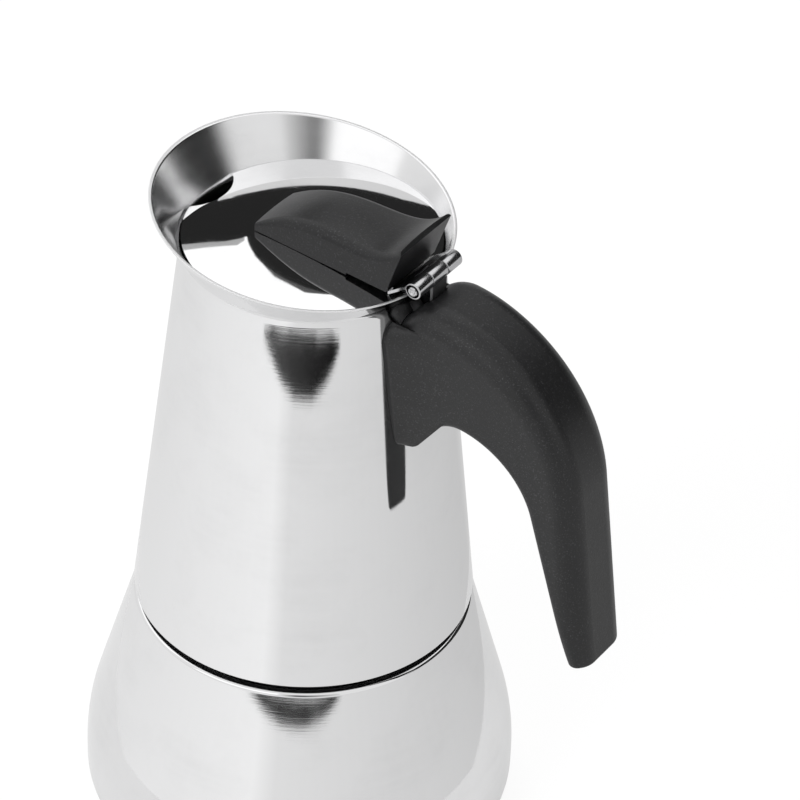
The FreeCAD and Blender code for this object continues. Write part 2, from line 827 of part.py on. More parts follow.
def make_hinge():
    """Strap with the middle knuckle, leaf with the outer knuckles, and the pin."""
    curl = "acos(bore_radius / barrel_radius)"
    strap = new_body("hinge_bracket", "seam_height")
    side = new_sketch(strap, "strap_side", "XZ_Plane")
    outline(
        side,
        [
            barrel_arc("0"),
            barrel_arc("90"),
            barrel_arc("180"),
            barrel_arc("270"),
            barrel_point("-" + curl),
            ("hinge_reach + bore_radius", "strap_bend_height"),
            (
                "handle_inside",
                "strap_bend_height - strap_slope * (hinge_reach + bore_radius - handle_inside)",
            ),
            ("handle_inside", "strap_foot_height"),
            (jug_outside("strap_foot_height") + " + strap_thickness", "strap_foot_height"),
            (jug_outside("strap_top_height") + " + strap_thickness", "strap_top_height"),
            ("hinge_reach + barrel_radius", "strap_bend_height - leaf_thickness / 3"),
        ],
    )
    circle(side, "hinge_reach", "hinge_height", "bore_radius")
    across(strap, "strap", "PartDesign::Pad", side, "knuckle_width")
    trim_to_jug(strap, "weld_face", "weld_gap", collar=False)
    leaf = new_body("lid_leaf", "seam_height")
    side = new_sketch(leaf, "leaf_side", "XZ_Plane")
    outline(
        side,
        [
            barrel_arc("90 deg + leaf_tilt * 1 deg + " + curl),
            barrel_arc("270"),
            barrel_arc("0"),
            barrel_arc("90"),
            barrel_point("90 + leaf_tilt"),
            ("leaf_bend", "leaf_bend_base + leaf_thickness"),
            ("leaf_start", "leaf_start_base + leaf_thickness"),
            ("leaf_start", "leaf_start_base"),
            ("leaf_bend + leaf_thickness * tan(leaf_tilt / 2)", "leaf_bend_base"),
        ],
    )
    circle(side, "hinge_reach", "hinge_height", "bore_radius")
    across(leaf, "leaf", "PartDesign::Pad", side, "hinge_length")
    gap = new_sketch(leaf, "knuckle_gap", "XY_Plane")
    half = "(knuckle_width / 2 + knuckle_gap)"
    near = "hinge_reach - 2 * barrel_radius"
    far = "hinge_reach + 2 * barrel_radius"
    outline(gap, [(near, "-" + half), (far, "-" + half), (far, half), (near, half)])
    across(leaf, "middle_gap", "PartDesign::Pocket", gap, FAR)
    sides = new_sketch(leaf, "tongue_sides", "XY_Plane")
    for sign in ("", "-"):
        inner = sign + "leaf_tongue_width / 2"
        outer = sign + "hinge_length"
        near = "leaf_start - 1"
        ends = [(near, inner), ("leaf_bend", inner), ("leaf_bend", outer), (near, outer)]
        outline(sides, ends if sign == "" else ends[::-1])
    across(leaf, "tongue", "PartDesign::Pocket", sides, FAR)
    pin = new_body("hinge_pin", "seam_height")
    end = new_sketch(pin, "pin_end", "XZ_Plane")
    circle(end, "hinge_reach", "hinge_height", "pin_radius")
    across(pin, "pin", "PartDesign::Pad", end, "hinge_length + 2 * pin_proud")


def make_lid():
    """Slightly crowned lid with a scallop for pouring and a hole for the knob's screw."""
    body = new_body("lid_plate", "seam_height")
    turned(
        body,
        "plate",
        [
            ("0", "lid_top - lid_thickness", "lid_arc", -1),
            ("lid_radius", "lid_edge_height - lid_thickness"),
            ("lid_radius", "lid_edge_height", "lid_arc", 1),
            ("0", "lid_top"),
        ],
    )
    scallop = "-(lid_radius - notch_depth + notch_radius)"
    holes = [(scallop, "0", "notch_radius"), ("knob_screw_reach", "0", "screw_bore")]
    bored(body, "notch_and_hole", "XY_Plane", holes)


def frame_cut(body, name, window, margin):
    """Keep only what lies inside a plan window, cutting away a wide frame round it."""
    sketch = new_sketch(body, name + "_frame", "XY_Plane")
    reach = [value(x) for x, _ in window]
    low = "%s - %s" % (window[reach.index(min(reach))][0], margin)
    high = "%s + %s" % (window[reach.index(max(reach))][0], margin)
    outline(sketch, [(low, "-" + margin), (high, "-" + margin), (high, margin), (low, margin)])
    outline(sketch, window)
    return across(body, name, "PartDesign::Pocket", sketch, FAR)


def drilled_up(body, name, reach, radius, top):
    """A blind hole from below, up to a height."""
    sketch = new_sketch(body, name + "_hole", "XY_Plane")
    circle(sketch, reach, "0", radius)
    hole = body.newObject("PartDesign::Pocket", name)
    hole.Profile = sketch
    hole.Reversed = True
    bind(hole, "Length", top)
    return hole


def span_edges(feature, start, end):
    """Edges on both sides of a moulding that run between two corners of its outline."""
    places = [(value(x), value(z)) for x, z in (start, end)]

    def spans(edge):
        points = [vertex.Point for vertex in edge.Vertexes]
        if len(points) != 2 or points[0].y * points[1].y < 0:
            return False
        return all(
            any(math.hypot(point.x - x, point.z - z) < CORNER_TOLERANCE for point in points)
            for x, z in places
        )

    return edges_where(feature, spans)


def level_edges(feature, height):
    """Edges that lie at one height."""
    level = value(height)

    def lies_level(edge):
        middle = edge.valueAt((edge.FirstParameter + edge.LastParameter) / 2)
        points = [vertex.Point for vertex in edge.Vertexes] + [middle]
        return all(abs(point.z - level) < CORNER_TOLERANCE for point in points)

    return edges_where(feature, lies_level)


def cross_edges(feature, corners):
    """Edges that run from side to side at given corners of the outline."""
    places = [(value(x), value(z)) for x, z in corners]

    def at_corner(edge):
        ends = [vertex.Point for vertex in edge.Vertexes]
        if len(ends) != 2 or ends[0].y * ends[1].y > 0:
            return False
        return any(
            all(math.hypot(point.x - x, point.z - z) < CORNER_TOLERANCE for point in ends) for x, z in places
        )

    return edges_where(feature, at_corner)


def knob_half_width(reach):
    """Half the knob's width, which grows evenly from nose to tab."""
    share = "(%s - knob_nose) / (knob_tip - knob_nose)" % reach
    return "(knob_nose_width + (knob_tab_width - knob_nose_width) * %s) / 2" % share


def knob_section(body, name, reach, height, corner):
    """A cross-section of the knob: straight sides, rounded shoulders and a crowned back."""
    sketch = new_sketch(body, name, "YZ_Plane")
    bind(sketch, "AttachmentOffset.Base.z", reach)
    side = "(%s)" % knob_half_width(reach)
    crown = "((%s - %s) / sin(knob_crown) + %s)" % (side, corner, corner)
    level = "(knob_base + %s - %s + (%s - %s) * cos(knob_crown))" % (height, crown, crown, corner)
    inset = "(%s - %s + %s * sin(knob_crown))" % (side, corner, corner)
    shoulder = "%s + %s * cos(knob_crown)" % (level, corner)
    outline(
        sketch,
        [
            ("-" + side, "knob_base"),
            (side, "knob_base"),
            (side, level, corner, 1),
            (inset, shoulder, crown, 1),
            ("-" + inset, shoulder, corner, 1),
            ("-" + side, level),
        ],
    )
    return sketch


def make_knob():
    """Moulded thumb piece: blunt nose, gently rising back and a tab over the hinge."""
    body = new_body("knob", "seam_height")
    tab_rise = "knob_tab_height + (knob_tip - knob_tab) / 2"
    nose = knob_section(body, "nose", "knob_nose", "knob_nose_height", "knob_nose_round")
    sections = [
        knob_section(body, "brow", "knob_brow", "knob_brow_height", "knob_brow_round"),
        knob_section(body, "saddle", "knob_saddle", "knob_saddle_height", "knob_saddle_round"),
        knob_section(body, "dip", "knob_dip", "knob_dip_height", "knob_dip_round"),
        knob_section(body, "tab", "knob_tip", tab_rise, "knob_tab_round"),
    ]
    loft = body.newObject("PartDesign::AdditiveLoft", "moulding")
    loft.Profile = nose
    loft.Sections = sections
    below = "knob_base - knob_step_height"
    past = "knob_tip + knob_tab_width"
    above = "knob_base + knob_tab_height + knob_tab_width"
    side = new_sketch(body, "tab_and_step", "XZ_Plane")
    outline(
        side,
        [
            ("knob_tab", "knob_base + knob_tab_height"),
            ("knob_tip", "knob_base + knob_tip_height"),
            ("knob_heel", "knob_base + knob_step_height"),
            ("knob_step", "knob_base + knob_step_height"),
            ("knob_step", below),
            (past, below),
            (past, above),
            ("knob_tab", above),
        ],
    )
    across(body, "undercut", "PartDesign::Pocket", side, "2 * knob_tab_width")
    depth = "knob_base + knob_screw_depth + blind_depth"
    drilled_up(body, "screw_hole", "knob_screw_reach", "screw_bore", depth)


def screw(name, reach, seat, length):
    """A round-headed screw that points up, its head's upper face at the seat."""
    body = new_body(name, "seam_height")
    foot = "%s - screw_head_height" % seat
    tip = "%s + %s" % (seat, length)
    turned(
        body,
        "screw",
        [
            ("0", foot),
            ("screw_head_radius - screw_head_height / 2", foot),
            ("screw_head_radius", seat + " - screw_head_height / 2"),
            ("screw_head_radius", seat),
            ("screw_radius", seat),
            ("screw_radius", tip),
            ("0", tip),
        ],
    )
    shift_along_x(body, reach)


def make_knob_fixing():
    washer = new_body("knob_washer", "seam_height")
    ring(washer, "washer", "screw_bore", "knob_washer_radius", "washer_base", "washer_top")
    shift_along_x(washer, "knob_screw_reach")
    screw("knob_screw", "knob_screw_reach", "washer_base", "knob_base + knob_screw_depth - washer_base")


def make_handle_bracket():
    """Plate welded to the jug, with a tongue that carries the handle."""
    body = new_body("handle_bracket", "seam_height")
    side = new_sketch(body, "side", "XZ_Plane")
    outline(
        side,
        [
            ("handle_inside", "bracket_foot_height"),
            (jug_outside("bracket_foot_height") + " + bracket_thickness", "bracket_foot_height"),
            (jug_outside("tongue_base") + " + bracket_thickness", "tongue_base"),
            ("tongue_reach", "tongue_base"),
            ("tongue_reach", "bracket_top_height"),
            ("handle_inside", "bracket_top_height"),
        ],
    )
    across(body, "plate", "PartDesign::Pad", side, "bracket_width")
    trim_to_jug(body, "weld_face", "weld_gap", collar=False)
    bored(body, "screw_hole", "XY_Plane", [("handle_screw_reach", "0", "screw_bore")])


def make_handle():
    """Moulded hook of a handle, saddled to the jug, with a cavity for its brackets."""
    body = new_body("handle", "seam_height")
    side = new_sketch(body, "side", "XZ_Plane")
    front_drop = "handle_front_slope * (handle_crest - handle_inside)"
    front = ("handle_inside", "handle_crest_height - " + front_drop)
    crest = ("handle_crest", "handle_crest_height")
    bend = ("handle_bend", "handle_bend_height")
    back = ("handle_back", "handle_back_height")
    tip = ("handle_tip", "handle_tip_height")
    tip_inner = ("handle_tip_inner", "handle_tip_height")
    belly = ("handle_belly", "handle_belly_height")
    arch = ("handle_arch", "handle_arch_height")
    notch = ("handle_notch", "handle_notch_height")
    back_turn = "%s - %s" % (heading(back, tip), heading(bend, back))
    crest_turn = "%s - (%s) - %s" % (heading(bend, back), back_turn, heading(crest, bend))
    belly_turn = "%s - %s" % (heading(belly, arch), heading(tip_inner, belly))
    arch_turn = "%s - %s - (%s)" % (heading(arch, notch), heading(belly, arch), belly_turn)
    notch_run = "(handle_notch_height - handle_lobe_height)"
    notch_fall = "tan(%s + %s)" % (heading(arch, notch), arch_turn)
    lobe = ("handle_notch - %s / %s" % (notch_run, notch_fall), "handle_lobe_height")
    outline(
        side,
        [
            front,
            swept(crest, bend, crest_turn),
            swept(bend, back, back_turn),
            back,
            tip,
            tip_inner,
            swept(belly, arch, belly_turn),
            swept(arch, notch, arch_turn),
            notch,
            lobe,
            ("handle_inside", "handle_lobe_height"),
        ],
    )
    across(body, "blank", "PartDesign::Pad", side, "2 * handle_root_width")
    root, end = "handle_root_width / 2", "handle_tip_width / 2"
    start, stop = "handle_inside - 1", "handle_tip + 1"
    window = [(start, "-" + root), (stop, "-" + end), (stop, end), (start, root)]
    plan = frame_cut(body, "plan", window, "2 * handle_root_width")
    top = cross_edges(plan, [crest])
    brow = dress(body, "crest_corner", "PartDesign::Fillet", plan, top, "Radius", "handle_crest_round")
    bottom = cross_edges(brow, [lobe])
    foot = dress(body, "lobe_corner", "PartDesign::Fillet", brow, bottom, "Radius", "handle_corner")
    outer = span_edges(foot, bend, back)
    grip = dress(body, "back_edges", "PartDesign::Fillet", foot, outer, "Radius", "handle_back_round")
    inner = span_edges(grip, belly, arch)
    soft = dress(body, "belly_edges", "PartDesign::Fillet", grip, inner, "Radius", "handle_round")
    end_edges = level_edges(soft, "handle_tip_height")
    dress(body, "tip_edges", "PartDesign::Fillet", soft, end_edges, "Radius", "handle_tip_round")
    trim_to_jug(body, "saddle", "handle_fit", collar=True)
    plate_room = jug_outside("bracket_foot_height") + " + bracket_thickness + cavity_clearance"
    room = new_sketch(body, "bracket_room", "XZ_Plane")
    outline(
        room,
        [
            ("handle_inside", "bracket_foot_height - cavity_clearance"),
            (plate_room, "bracket_foot_height - cavity_clearance"),
            (plate_room, "tongue_base - cavity_clearance"),
            ("tongue_reach + cavity_clearance", "tongue_base - cavity_clearance"),
            ("tongue_reach + cavity_clearance", "bracket_top_height + cavity_clearance"),
            ("handle_inside", "bracket_top_height + cavity_clearance"),
        ],
    )
    across(body, "bracket_cavity", "PartDesign::Pocket", room, "bracket_slot")
    strap_room = "hinge_reach + barrel_radius + cavity_clearance"
    slot = new_sketch(body, "strap_room", "XZ_Plane")
    outline(
        slot,
        [
            ("handle_inside", "bracket_top_height + cavity_clearance"),
            (strap_room, "bracket_top_height + cavity_clearance"),
            (strap_room, "handle_crest_height + handle_corner"),
            ("handle_inside", "handle_crest_height + handle_corner"),
        ],
    )
    across(body, "strap_slot", "PartDesign::Pocket", slot, "strap_slot")
    recess = "screw_head_radius + cavity_clearance"
    drilled_up(body, "head_recess", "handle_screw_reach", recess, "handle_screw_seat")
    shank_top = "handle_screw_seat + handle_screw_length + blind_depth"
    drilled_up(body, "shank_hole", "handle_screw_reach", "screw_bore", shank_top)


def failed_objects():
    """Labels of the document's objects that didn't compute, and of parts with a bad shape."""
    bad = [item.Label for item in doc.Objects if {"Invalid", "Error"} & set(item.State)]
    return bad + [part.Label for part in parts if part.Shape.isNull() or not part.Shape.isValid()]


def main():
    make_boiler()
    make_base_disc()
    make_valve()
    make_funnel()
    make_seal()
    make_jug()
    make_column()
    make_hinge()
    make_lid()
    make_knob()
    make_knob_fixing()
    make_handle_bracket()
    make_handle()
    screw("handle_screw", "handle_screw_reach", "handle_screw_seat", "handle_screw_length")
    doc.recompute()
    bad = failed_objects()
    if bad:
        raise RuntimeError("not built: " + ", ".join(bad))
    os.makedirs("parts", exist_ok=True)
    for part in parts:
        part.Shape.exportStep("parts/%s.step" % part.Label)


main()
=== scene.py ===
"""Looks of a stovetop moka pot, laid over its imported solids.

Metres, in the part's own frame: +Z is up, +X points to the handle, -X to the pouring side.
"""

import math

import bmesh
import bpy
from bpy.props import FloatProperty, FloatVectorProperty, IntProperty, PointerProperty
from bpy.types import Operator, Panel, PropertyGroup
from mathutils import Matrix, Vector


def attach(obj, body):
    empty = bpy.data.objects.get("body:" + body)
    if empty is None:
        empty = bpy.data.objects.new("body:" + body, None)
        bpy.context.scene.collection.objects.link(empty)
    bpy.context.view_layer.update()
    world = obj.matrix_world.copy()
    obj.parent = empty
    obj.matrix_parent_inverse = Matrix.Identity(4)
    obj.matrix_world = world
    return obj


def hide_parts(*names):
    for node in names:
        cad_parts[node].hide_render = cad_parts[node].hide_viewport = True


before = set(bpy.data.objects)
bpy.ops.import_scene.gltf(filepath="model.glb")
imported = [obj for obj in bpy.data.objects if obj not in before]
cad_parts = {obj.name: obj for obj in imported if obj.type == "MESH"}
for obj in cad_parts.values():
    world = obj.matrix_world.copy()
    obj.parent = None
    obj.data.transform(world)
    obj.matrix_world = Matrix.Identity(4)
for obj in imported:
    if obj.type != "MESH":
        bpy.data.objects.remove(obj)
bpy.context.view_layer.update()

bl_info = {
    "name": "Moka Pot Finishes",
    "version": (1, 0, 0),
    "blender": (4, 5, 0),
    "location": "View3D > Sidebar > Moka Pot",
    "description": "Dresses the packed moka pot in polished steel, brass, silicone and moulded plastic",
    "category": "Object",
}

MM = 0.001

# Jug, heights from the table
SEAM = 70.0 * MM
JUG_RADIUS = 43.0 * MM
JUG_NECK_RADIUS = 31.7 * MM
JUG_NECK = 173.8 * MM
JUG_WALL = 0.8 * MM
FLARE = math.radians(31.0)
RIM_ON_AXIS = 182.1 * MM
RIM_SLOPE = math.radians(7.35)
JUG_TAPER = (JUG_RADIUS - JUG_NECK_RADIUS) / (JUG_NECK - SEAM)
JUG_HEM = 0.25 * MM

# Boiler, heights from the table
BASE_TOP = 3.0 * MM
BOILER_RADIUS = 55.5 * MM
BOILER_WALL = 1.0 * MM
HEEL = 8.0 * MM
BELLY = 15.0 * MM
BELLY_ARC = 61.0 * MM
SHOULDER_RADIUS = 42.9 * MM
SHOULDER = 67.7 * MM
SHOULDER_ROUND = 1.0 * MM
NECK_RADIUS = 38.0 * MM
NECK_RIM = 79.2 * MM
LEDGE_ROUND = 0.4 * MM
RIM_ROUND = 0.3 * MM
AXIS_GAP = 0.5 * MM

# Thread on the boiler's neck
THREAD_MARGIN = 1.2 * MM
THREAD_HALF_WIDTH = 0.9 * MM
THREAD_CREST_SHARE = 0.3
THREAD_SINK = 0.3 * MM
THREAD_FADE_RATE = 6.0
THREAD_AROUND = 96

LID_CENTRE = Vector((0.0, 0.0, 177.0 * MM))

HINGE_CENTRE = Vector((35.0 * MM, 0.0, 180.2 * MM))
HINGE_AROUND = 48
HINGE_SOFTENING = 0.25 * MM
KNUCKLE_FIT = 0.05 * MM

# Rows of faces along the turned profiles
WALL_ROWS = 14
COLLAR_ROWS = 5
BEND_ROWS = 6
EDGE_ROWS = 3
FLAT_ROWS = 4
HEEL_ROWS = 12
BELLY_ROWS = 10
FLANK_ROWS = 8
LEDGE_ROWS = 2
LEDGE_BEND_ROWS = 4
UNDER_ROWS = 3
KNUCKLE_ROWS = 2
KNUCKLE_EDGE_ROWS = 4

# Close rows beside a bend keep a wall's shading flat, and corners sharper than these angles stay sharp
GUARD = 0.15 * MM
SHELL_CORNER = math.radians(40)
THREAD_CORNER = math.radians(50)
HINGE_CORNER = math.radians(35)

# Handle's root, as (height, half width) pairs up the jug's wall
ROOT_OUTLINE = (
    (136.0 * MM, 11.3 * MM),
    (137.4 * MM, 11.9 * MM),
    (140.5 * MM, 12.3 * MM),
    (152.0 * MM, 12.9 * MM),
    (165.5 * MM, 13.2 * MM),
    (167.6 * MM, 12.7 * MM),
    (169.2 * MM, 11.8 * MM),
    (170.2 * MM, 10.4 * MM),
)
ROOT_FIT = 0.15 * MM
ROOT_REACH = 48.0 * MM
ROOT_FOOT_REACH = 38.3 * MM
ROOT_FOOT_SLOPE = 0.72
ROOT_FOOT_ROUND = 2.0 * MM
ROOT_SINK = 0.6 * MM
ROOT_ROWS = 68
ROOT_STEPS = 12
FLANK = 10.45 * MM

# Camera
CAMERA_PLACE = Vector((0.45968, -0.65750, 0.75534))
CAMERA_RIGHT = Vector((0.82003, 0.57132, 0.03375))
CAMERA_UP = Vector((-0.37444, 0.49098, 0.78659))
CAMERA_LENS = 186.70
SENSOR = 36.0

# Directions of the brush marks, as marks in a metre along each axis, and the height of marks and grain
WHEEL_BRUSHED = (14.0, 14.0, 2600.0)
SATIN_BRUSHED = (40.0, 40.0, 2400.0)
ROLLED = (900.0, 60.0, 900.0)
LID_BRUSHED = (60.0, 900.0, 60.0)
TRIMMED = (400.0, 400.0, 400.0)
BRUSH_HEIGHT = 0.02 * MM
GRAIN_HEIGHT = 0.05 * MM

# Surface effects, counted in a metre: smudges, grains and rings, with scratches and pits as a share of them
SMUDGES = 40.0
SCRATCHES = 6.0
GRAINS = 2600.0
PITS = 0.35
PIT_DEPTH = 0.5
RINGS = 2500.0

# Wear: brightness of stains, and the roughness that scratches, streaks and smudges add
STEEL_STAIN = 0.93
STEEL_SCRATCH = 0.1
STEEL_STREAK = 0.12
TURNED_STAIN = 0.86
TURNED_SMUDGE = 0.12
TURNED_SMUDGE_SIZE = 120.0
SOFT_STAIN = 0.84
SOFT_SMUDGE = 0.1

# Moulded plastic: brightness of worn patches and of flecks, and its sheen
WORN = 1.35
FLECK = 6.0
FLECK_SHARE = 0.8
SHEEN = 0.42

# Floor: its disc, and how far its own glow takes over from the lamps' light
FLOOR_RADIUS = 6.0
FLOOR_AROUND = 64
FLOOR_GLOW = 1.03
FLOOR_GLOW_SHARE = 0.88
FLOOR_GLOW_SHARE_IN_METAL = 0.7

# Cards that only polished metal shows: brightness, and distance from the lid in metres
SOFTBOX = 1.2
DARK = 0.02
STAND = 0.14
ROOM_DISTANCE = 5.0
HAZE_DISTANCE = 5.2
OVERHEAD_DISTANCE = 5.6
LOW_DISTANCE = 4.9
STAND_DISTANCE = 4.8
LAMP_DISTANCE = 1.3

# Skylines of the dark room, as (azimuth, elevation) points from the lid
CURVE_STEPS = 16
COLUMN_WIDTH = 6
BROW_START = ((195, 44), (210, 43.1))
BROW_CENTRE = (212, 36.3)
BROW_SPAN = (6.95, 6.25)
LEFT_SKYLINE = ((218.95, 36.3), (219.4, 36.5), (220.3, 36.7), (222.8, 36.6), (240, 34.5))
HAZE_SKYLINE = ((195, 44.4), (212.6, 42.9), (215.4, 42.3), (217.4, 40.7), (218.6, 38.4))
LEFT_HAZE_SKYLINE = ((219.1, 36.7), (219.6, 37.2), (222.8, 37.2), (240, 35))
DIP_START = (195, 36)
DIP_TURNS = (207.0, 220.2)
DIP_CENTRE = (214.3, 30.46)
DIP_CURVE = 0.052

# Sheets on the floor, in metres round the pot: painted light and shade of the floor, and the dark stand. An
# arc is (first azimuth, last azimuth, radius)
SHEET_STEPS = 24
SHEET_RADII = (0.12, 1.2)
SHEET_HEIGHT = 0.5 * MM
STAND_HEIGHT = 1.0 * MM
STAND_ARCS = (
    (25, 37, 0.349),
    (20, 42, 0.354),
    (6.5, 53.6, 0.372),
    (-2, 59, 0.387),
    (6, 52, 0.398),
    (20, 38, 0.402),
)


def colour_setting(name, description, default):
    return FloatVectorProperty(name=name, description=description, subtype="COLOR", default=default)


def length_setting(name, description, default):
    return FloatProperty(name=name, description=description, default=default, unit="LENGTH")


def power_setting(name, description, default):
    return FloatProperty(name=name, description=description, default=default, min=0.0, unit="POWER")


def share_setting(name, description, default, subtype="NONE"):
    return FloatProperty(
        name=name, description=description, default=default, min=0.0, max=1.0, subtype=subtype
    )


class MokaSteel(PropertyGroup):
    """Finish of the steel pieces."""

    shell_colour: colour_setting("Shell", "Polished jug and boiler", (0.86, 0.86, 0.865))
    lid_colour: colour_setting("Lid", "Mirror polished lid", (0.88, 0.88, 0.885))
    inner_colour: colour_setting("Inside", "Satin steel of the inner pieces", (0.70, 0.70, 0.71))
    hinge_colour: colour_setting("Hinge", "Bright steel of hinge and screws", (0.58, 0.58, 0.59))
    shell_roughness: share_setting("Shell roughness", "Gloss of the shells", 0.035, "FACTOR")
    satin_roughness: share_setting("Satin roughness", "Gloss inside the jug", 0.17, "FACTOR")
    brush_depth: share_setting("Brush depth", "Height of the fine brush marks", 0.10)


class MokaPlastic(PropertyGroup):
    """Finish of the handle and the lid's knob."""

    colour: colour_setting("Plastic", "Charcoal moulded plastic", (0.007, 0.007, 0.0074))
    grain: FloatProperty(name="Grain", description="Grains in a metre", default=GRAINS, min=100.0)
    depth: share_setting("Grain depth", "Height of the grain", 0.45)


class MokaSmallParts(PropertyGroup):
    """Finish of the valve and the seal."""

    brass: colour_setting("Brass", "Turned brass of the valve", (0.78, 0.57, 0.27))
    silicone: colour_setting("Silicone", "Gasket", (0.80, 0.79, 0.75))
    fibre: colour_setting("Fibre", "Washer under the valve", (0.36, 0.09, 0.06))


class MokaShape(PropertyGroup):
    """Shape of the turned shells."""

    around: IntProperty(
        name="Around", description="Faces around a turned shell", default=240, min=32, max=720
    )
    neck_bend: length_setting("Neck bend", "Radius where the collar leaves the jug", 1.6 * MM)
    thread_pitch: length_setting("Thread pitch", "Rise of the neck's thread in a turn", 4.0 * MM)
    thread_height: length_setting("Thread height", "How far the thread stands off the neck", 0.22 * MM)


class MokaHinge(PropertyGroup):
    """Rolled knuckles and riveted pin of the hinge."""

    knuckle_radius: length_setting("Knuckle radius", "Outside of the rolled knuckles", 2.15 * MM)
    knuckle_half: length_setting("Middle knuckle", "Half the length of the middle knuckle", 2.9 * MM)
    knuckle_gap: length_setting("Knuckle gap", "Play between the knuckles", 0.2 * MM)
    barrel_half: length_setting("Barrel", "Half the length of the barrel", 8.75 * MM)
    pin_radius: length_setting("Pin radius", "Riveted pin", 1.0 * MM)
    pin_half: length_setting("Pin", "Half the length of the pin", 9.05 * MM)


class MokaStage(PropertyGroup):
    """Floor, lamps and dark cards round the pot."""

    floor: colour_setting("Floor", "Pale studio floor", (0.92, 0.92, 0.92))
    ambient: FloatProperty(name="Ambient", description="Light from all round", default=0.35, min=0.0)
    room_in_metal: FloatProperty(
        name="Room", description="How bright metal shows the room", default=0.85, min=0.0
    )
    floor_in_metal: FloatProperty(
        name="Floor in metal", description="How bright metal shows the floor", default=0.72
    )
    key: power_setting("Key", "Power of the front lamp", 14.0)
    fill: power_setting("Fill", "Power of the overhead lamp", 10.0)


class MokaPot(PropertyGroup):
    """All that a user would change."""

    steel: PointerProperty(type=MokaSteel)
    plastic: PointerProperty(type=MokaPlastic)
    small: PointerProperty(type=MokaSmallParts)
    shape: PointerProperty(type=MokaShape)
    hinge: PointerProperty(type=MokaHinge)
    stage: PointerProperty(type=MokaStage)


# Shared effects


def effect(name, inputs, outputs):
    """An empty node group with its sockets, and its nodes at both ends."""
    group = bpy.data.node_groups.new(name, "ShaderNodeTree")
    for socket, kind, default in inputs:
        made = group.interface.new_socket(socket, in_out="INPUT", socket_type=kind)
        made.default_value = default
    for socket, kind in outputs:
        group.interface.new_socket(socket, in_out="OUTPUT", socket_type=kind)
    return group, group.nodes.new("NodeGroupInput"), group.nodes.new("NodeGroupOutput")


def feed(tree, socket, item):
    """Give a node's input a number or another node's output."""
    if isinstance(item, (int, float)):
        socket.default_value = item
    else:
        tree.links.new(item, socket)


def noise(tree, vector, scale, detail, roughness=0.5):
    node = tree.nodes.new("ShaderNodeTexNoise")
    feed(tree, node.inputs["Scale"], scale)
    node.inputs["Detail"].default_value = detail
    node.inputs["Roughness"].default_value = roughness
    tree.links.new(vector, node.inputs["Vector"])
    return node.outputs["Fac"]


def math_node(tree, operation, *items):
    node = tree.nodes.new("ShaderNodeMath")
    node.operation = operation
    for socket, item in zip(node.inputs, items):
        feed(tree, socket, item)
    return node.outputs[0]


def spread(tree, item, low, high, to_low=0.0, to_high=1.0):
    """Map a range of a value onto another, and stay inside it."""
    node = tree.nodes.new("ShaderNodeMapRange")
    tree.links.new(item, node.inputs["Value"])
    for socket, number in (("From Min", low), ("From Max", high), ("To Min", to_low), ("To Max", to_high)):
        feed(tree, node.inputs[socket], number)
    return node.outputs[0]


def stretched(tree, stretch):
    """Object coordinates drawn out by a vector."""
    place = tree.nodes.new("ShaderNodeTexCoord").outputs["Object"]
    node = tree.nodes.new("ShaderNodeVectorMath")
    node.operation = "MULTIPLY"
    tree.links.new(place, node.inputs[0])
    tree.links.new(stretch, node.inputs[1])
    return node.outputs[0]


def brush_marks():
    """Fine lines round the pot, left by the polishing wheel."""
    group, start, end = effect(
        "Brush marks",
        [("Stretch", "NodeSocketVector", WHEEL_BRUSHED)],
        [("Height", "NodeSocketFloat"), ("Bands", "NodeSocketFloat")],
    )
    place = stretched(group, start.outputs["Stretch"])
    fine = noise(group, place, scale=1.0, detail=6.0, roughness=0.7)
    broad = noise(group, place, scale=0.12, detail=3.0)
    group.links.new(fine, end.inputs["Height"])
    group.links.new(spread(group, broad, low=0.35, high=0.65), end.inputs["Bands"])
    return group


def handling_marks():
    """Soft smudges and small scratches from use."""
    group, start, end = effect(
        "Handling marks",
        [("Size", "NodeSocketFloat", SMUDGES)],
        [("Smudge", "NodeSocketFloat"), ("Scratch", "NodeSocketFloat")],
    )
    place = group.nodes.new("ShaderNodeTexCoord").outputs["Object"]
    cloud = noise(group, place, scale=start.outputs["Size"], detail=5.0, roughness=0.6)
    group.links.new(spread(group, cloud, low=0.45, high=0.75), end.inputs["Smudge"])
    cells = group.nodes.new("ShaderNodeTexVoronoi")
    cells.feature = "DISTANCE_TO_EDGE"
    cells.inputs["Randomness"].default_value = 1.0
    group.links.new(place, cells.inputs["Vector"])
    scratches = math_node(group, "MULTIPLY", start.outputs["Size"], SCRATCHES)
    group.links.new(scratches, cells.inputs["Scale"])
    line = spread(group, cells.outputs["Distance"], low=0.0, high=0.012, to_low=1.0, to_high=0.0)
    worn = spread(group, cloud, low=0.55, high=0.62)
    broken = math_node(group, "MULTIPLY", line, worn)
    group.links.new(broken, end.inputs["Scratch"])
    return group


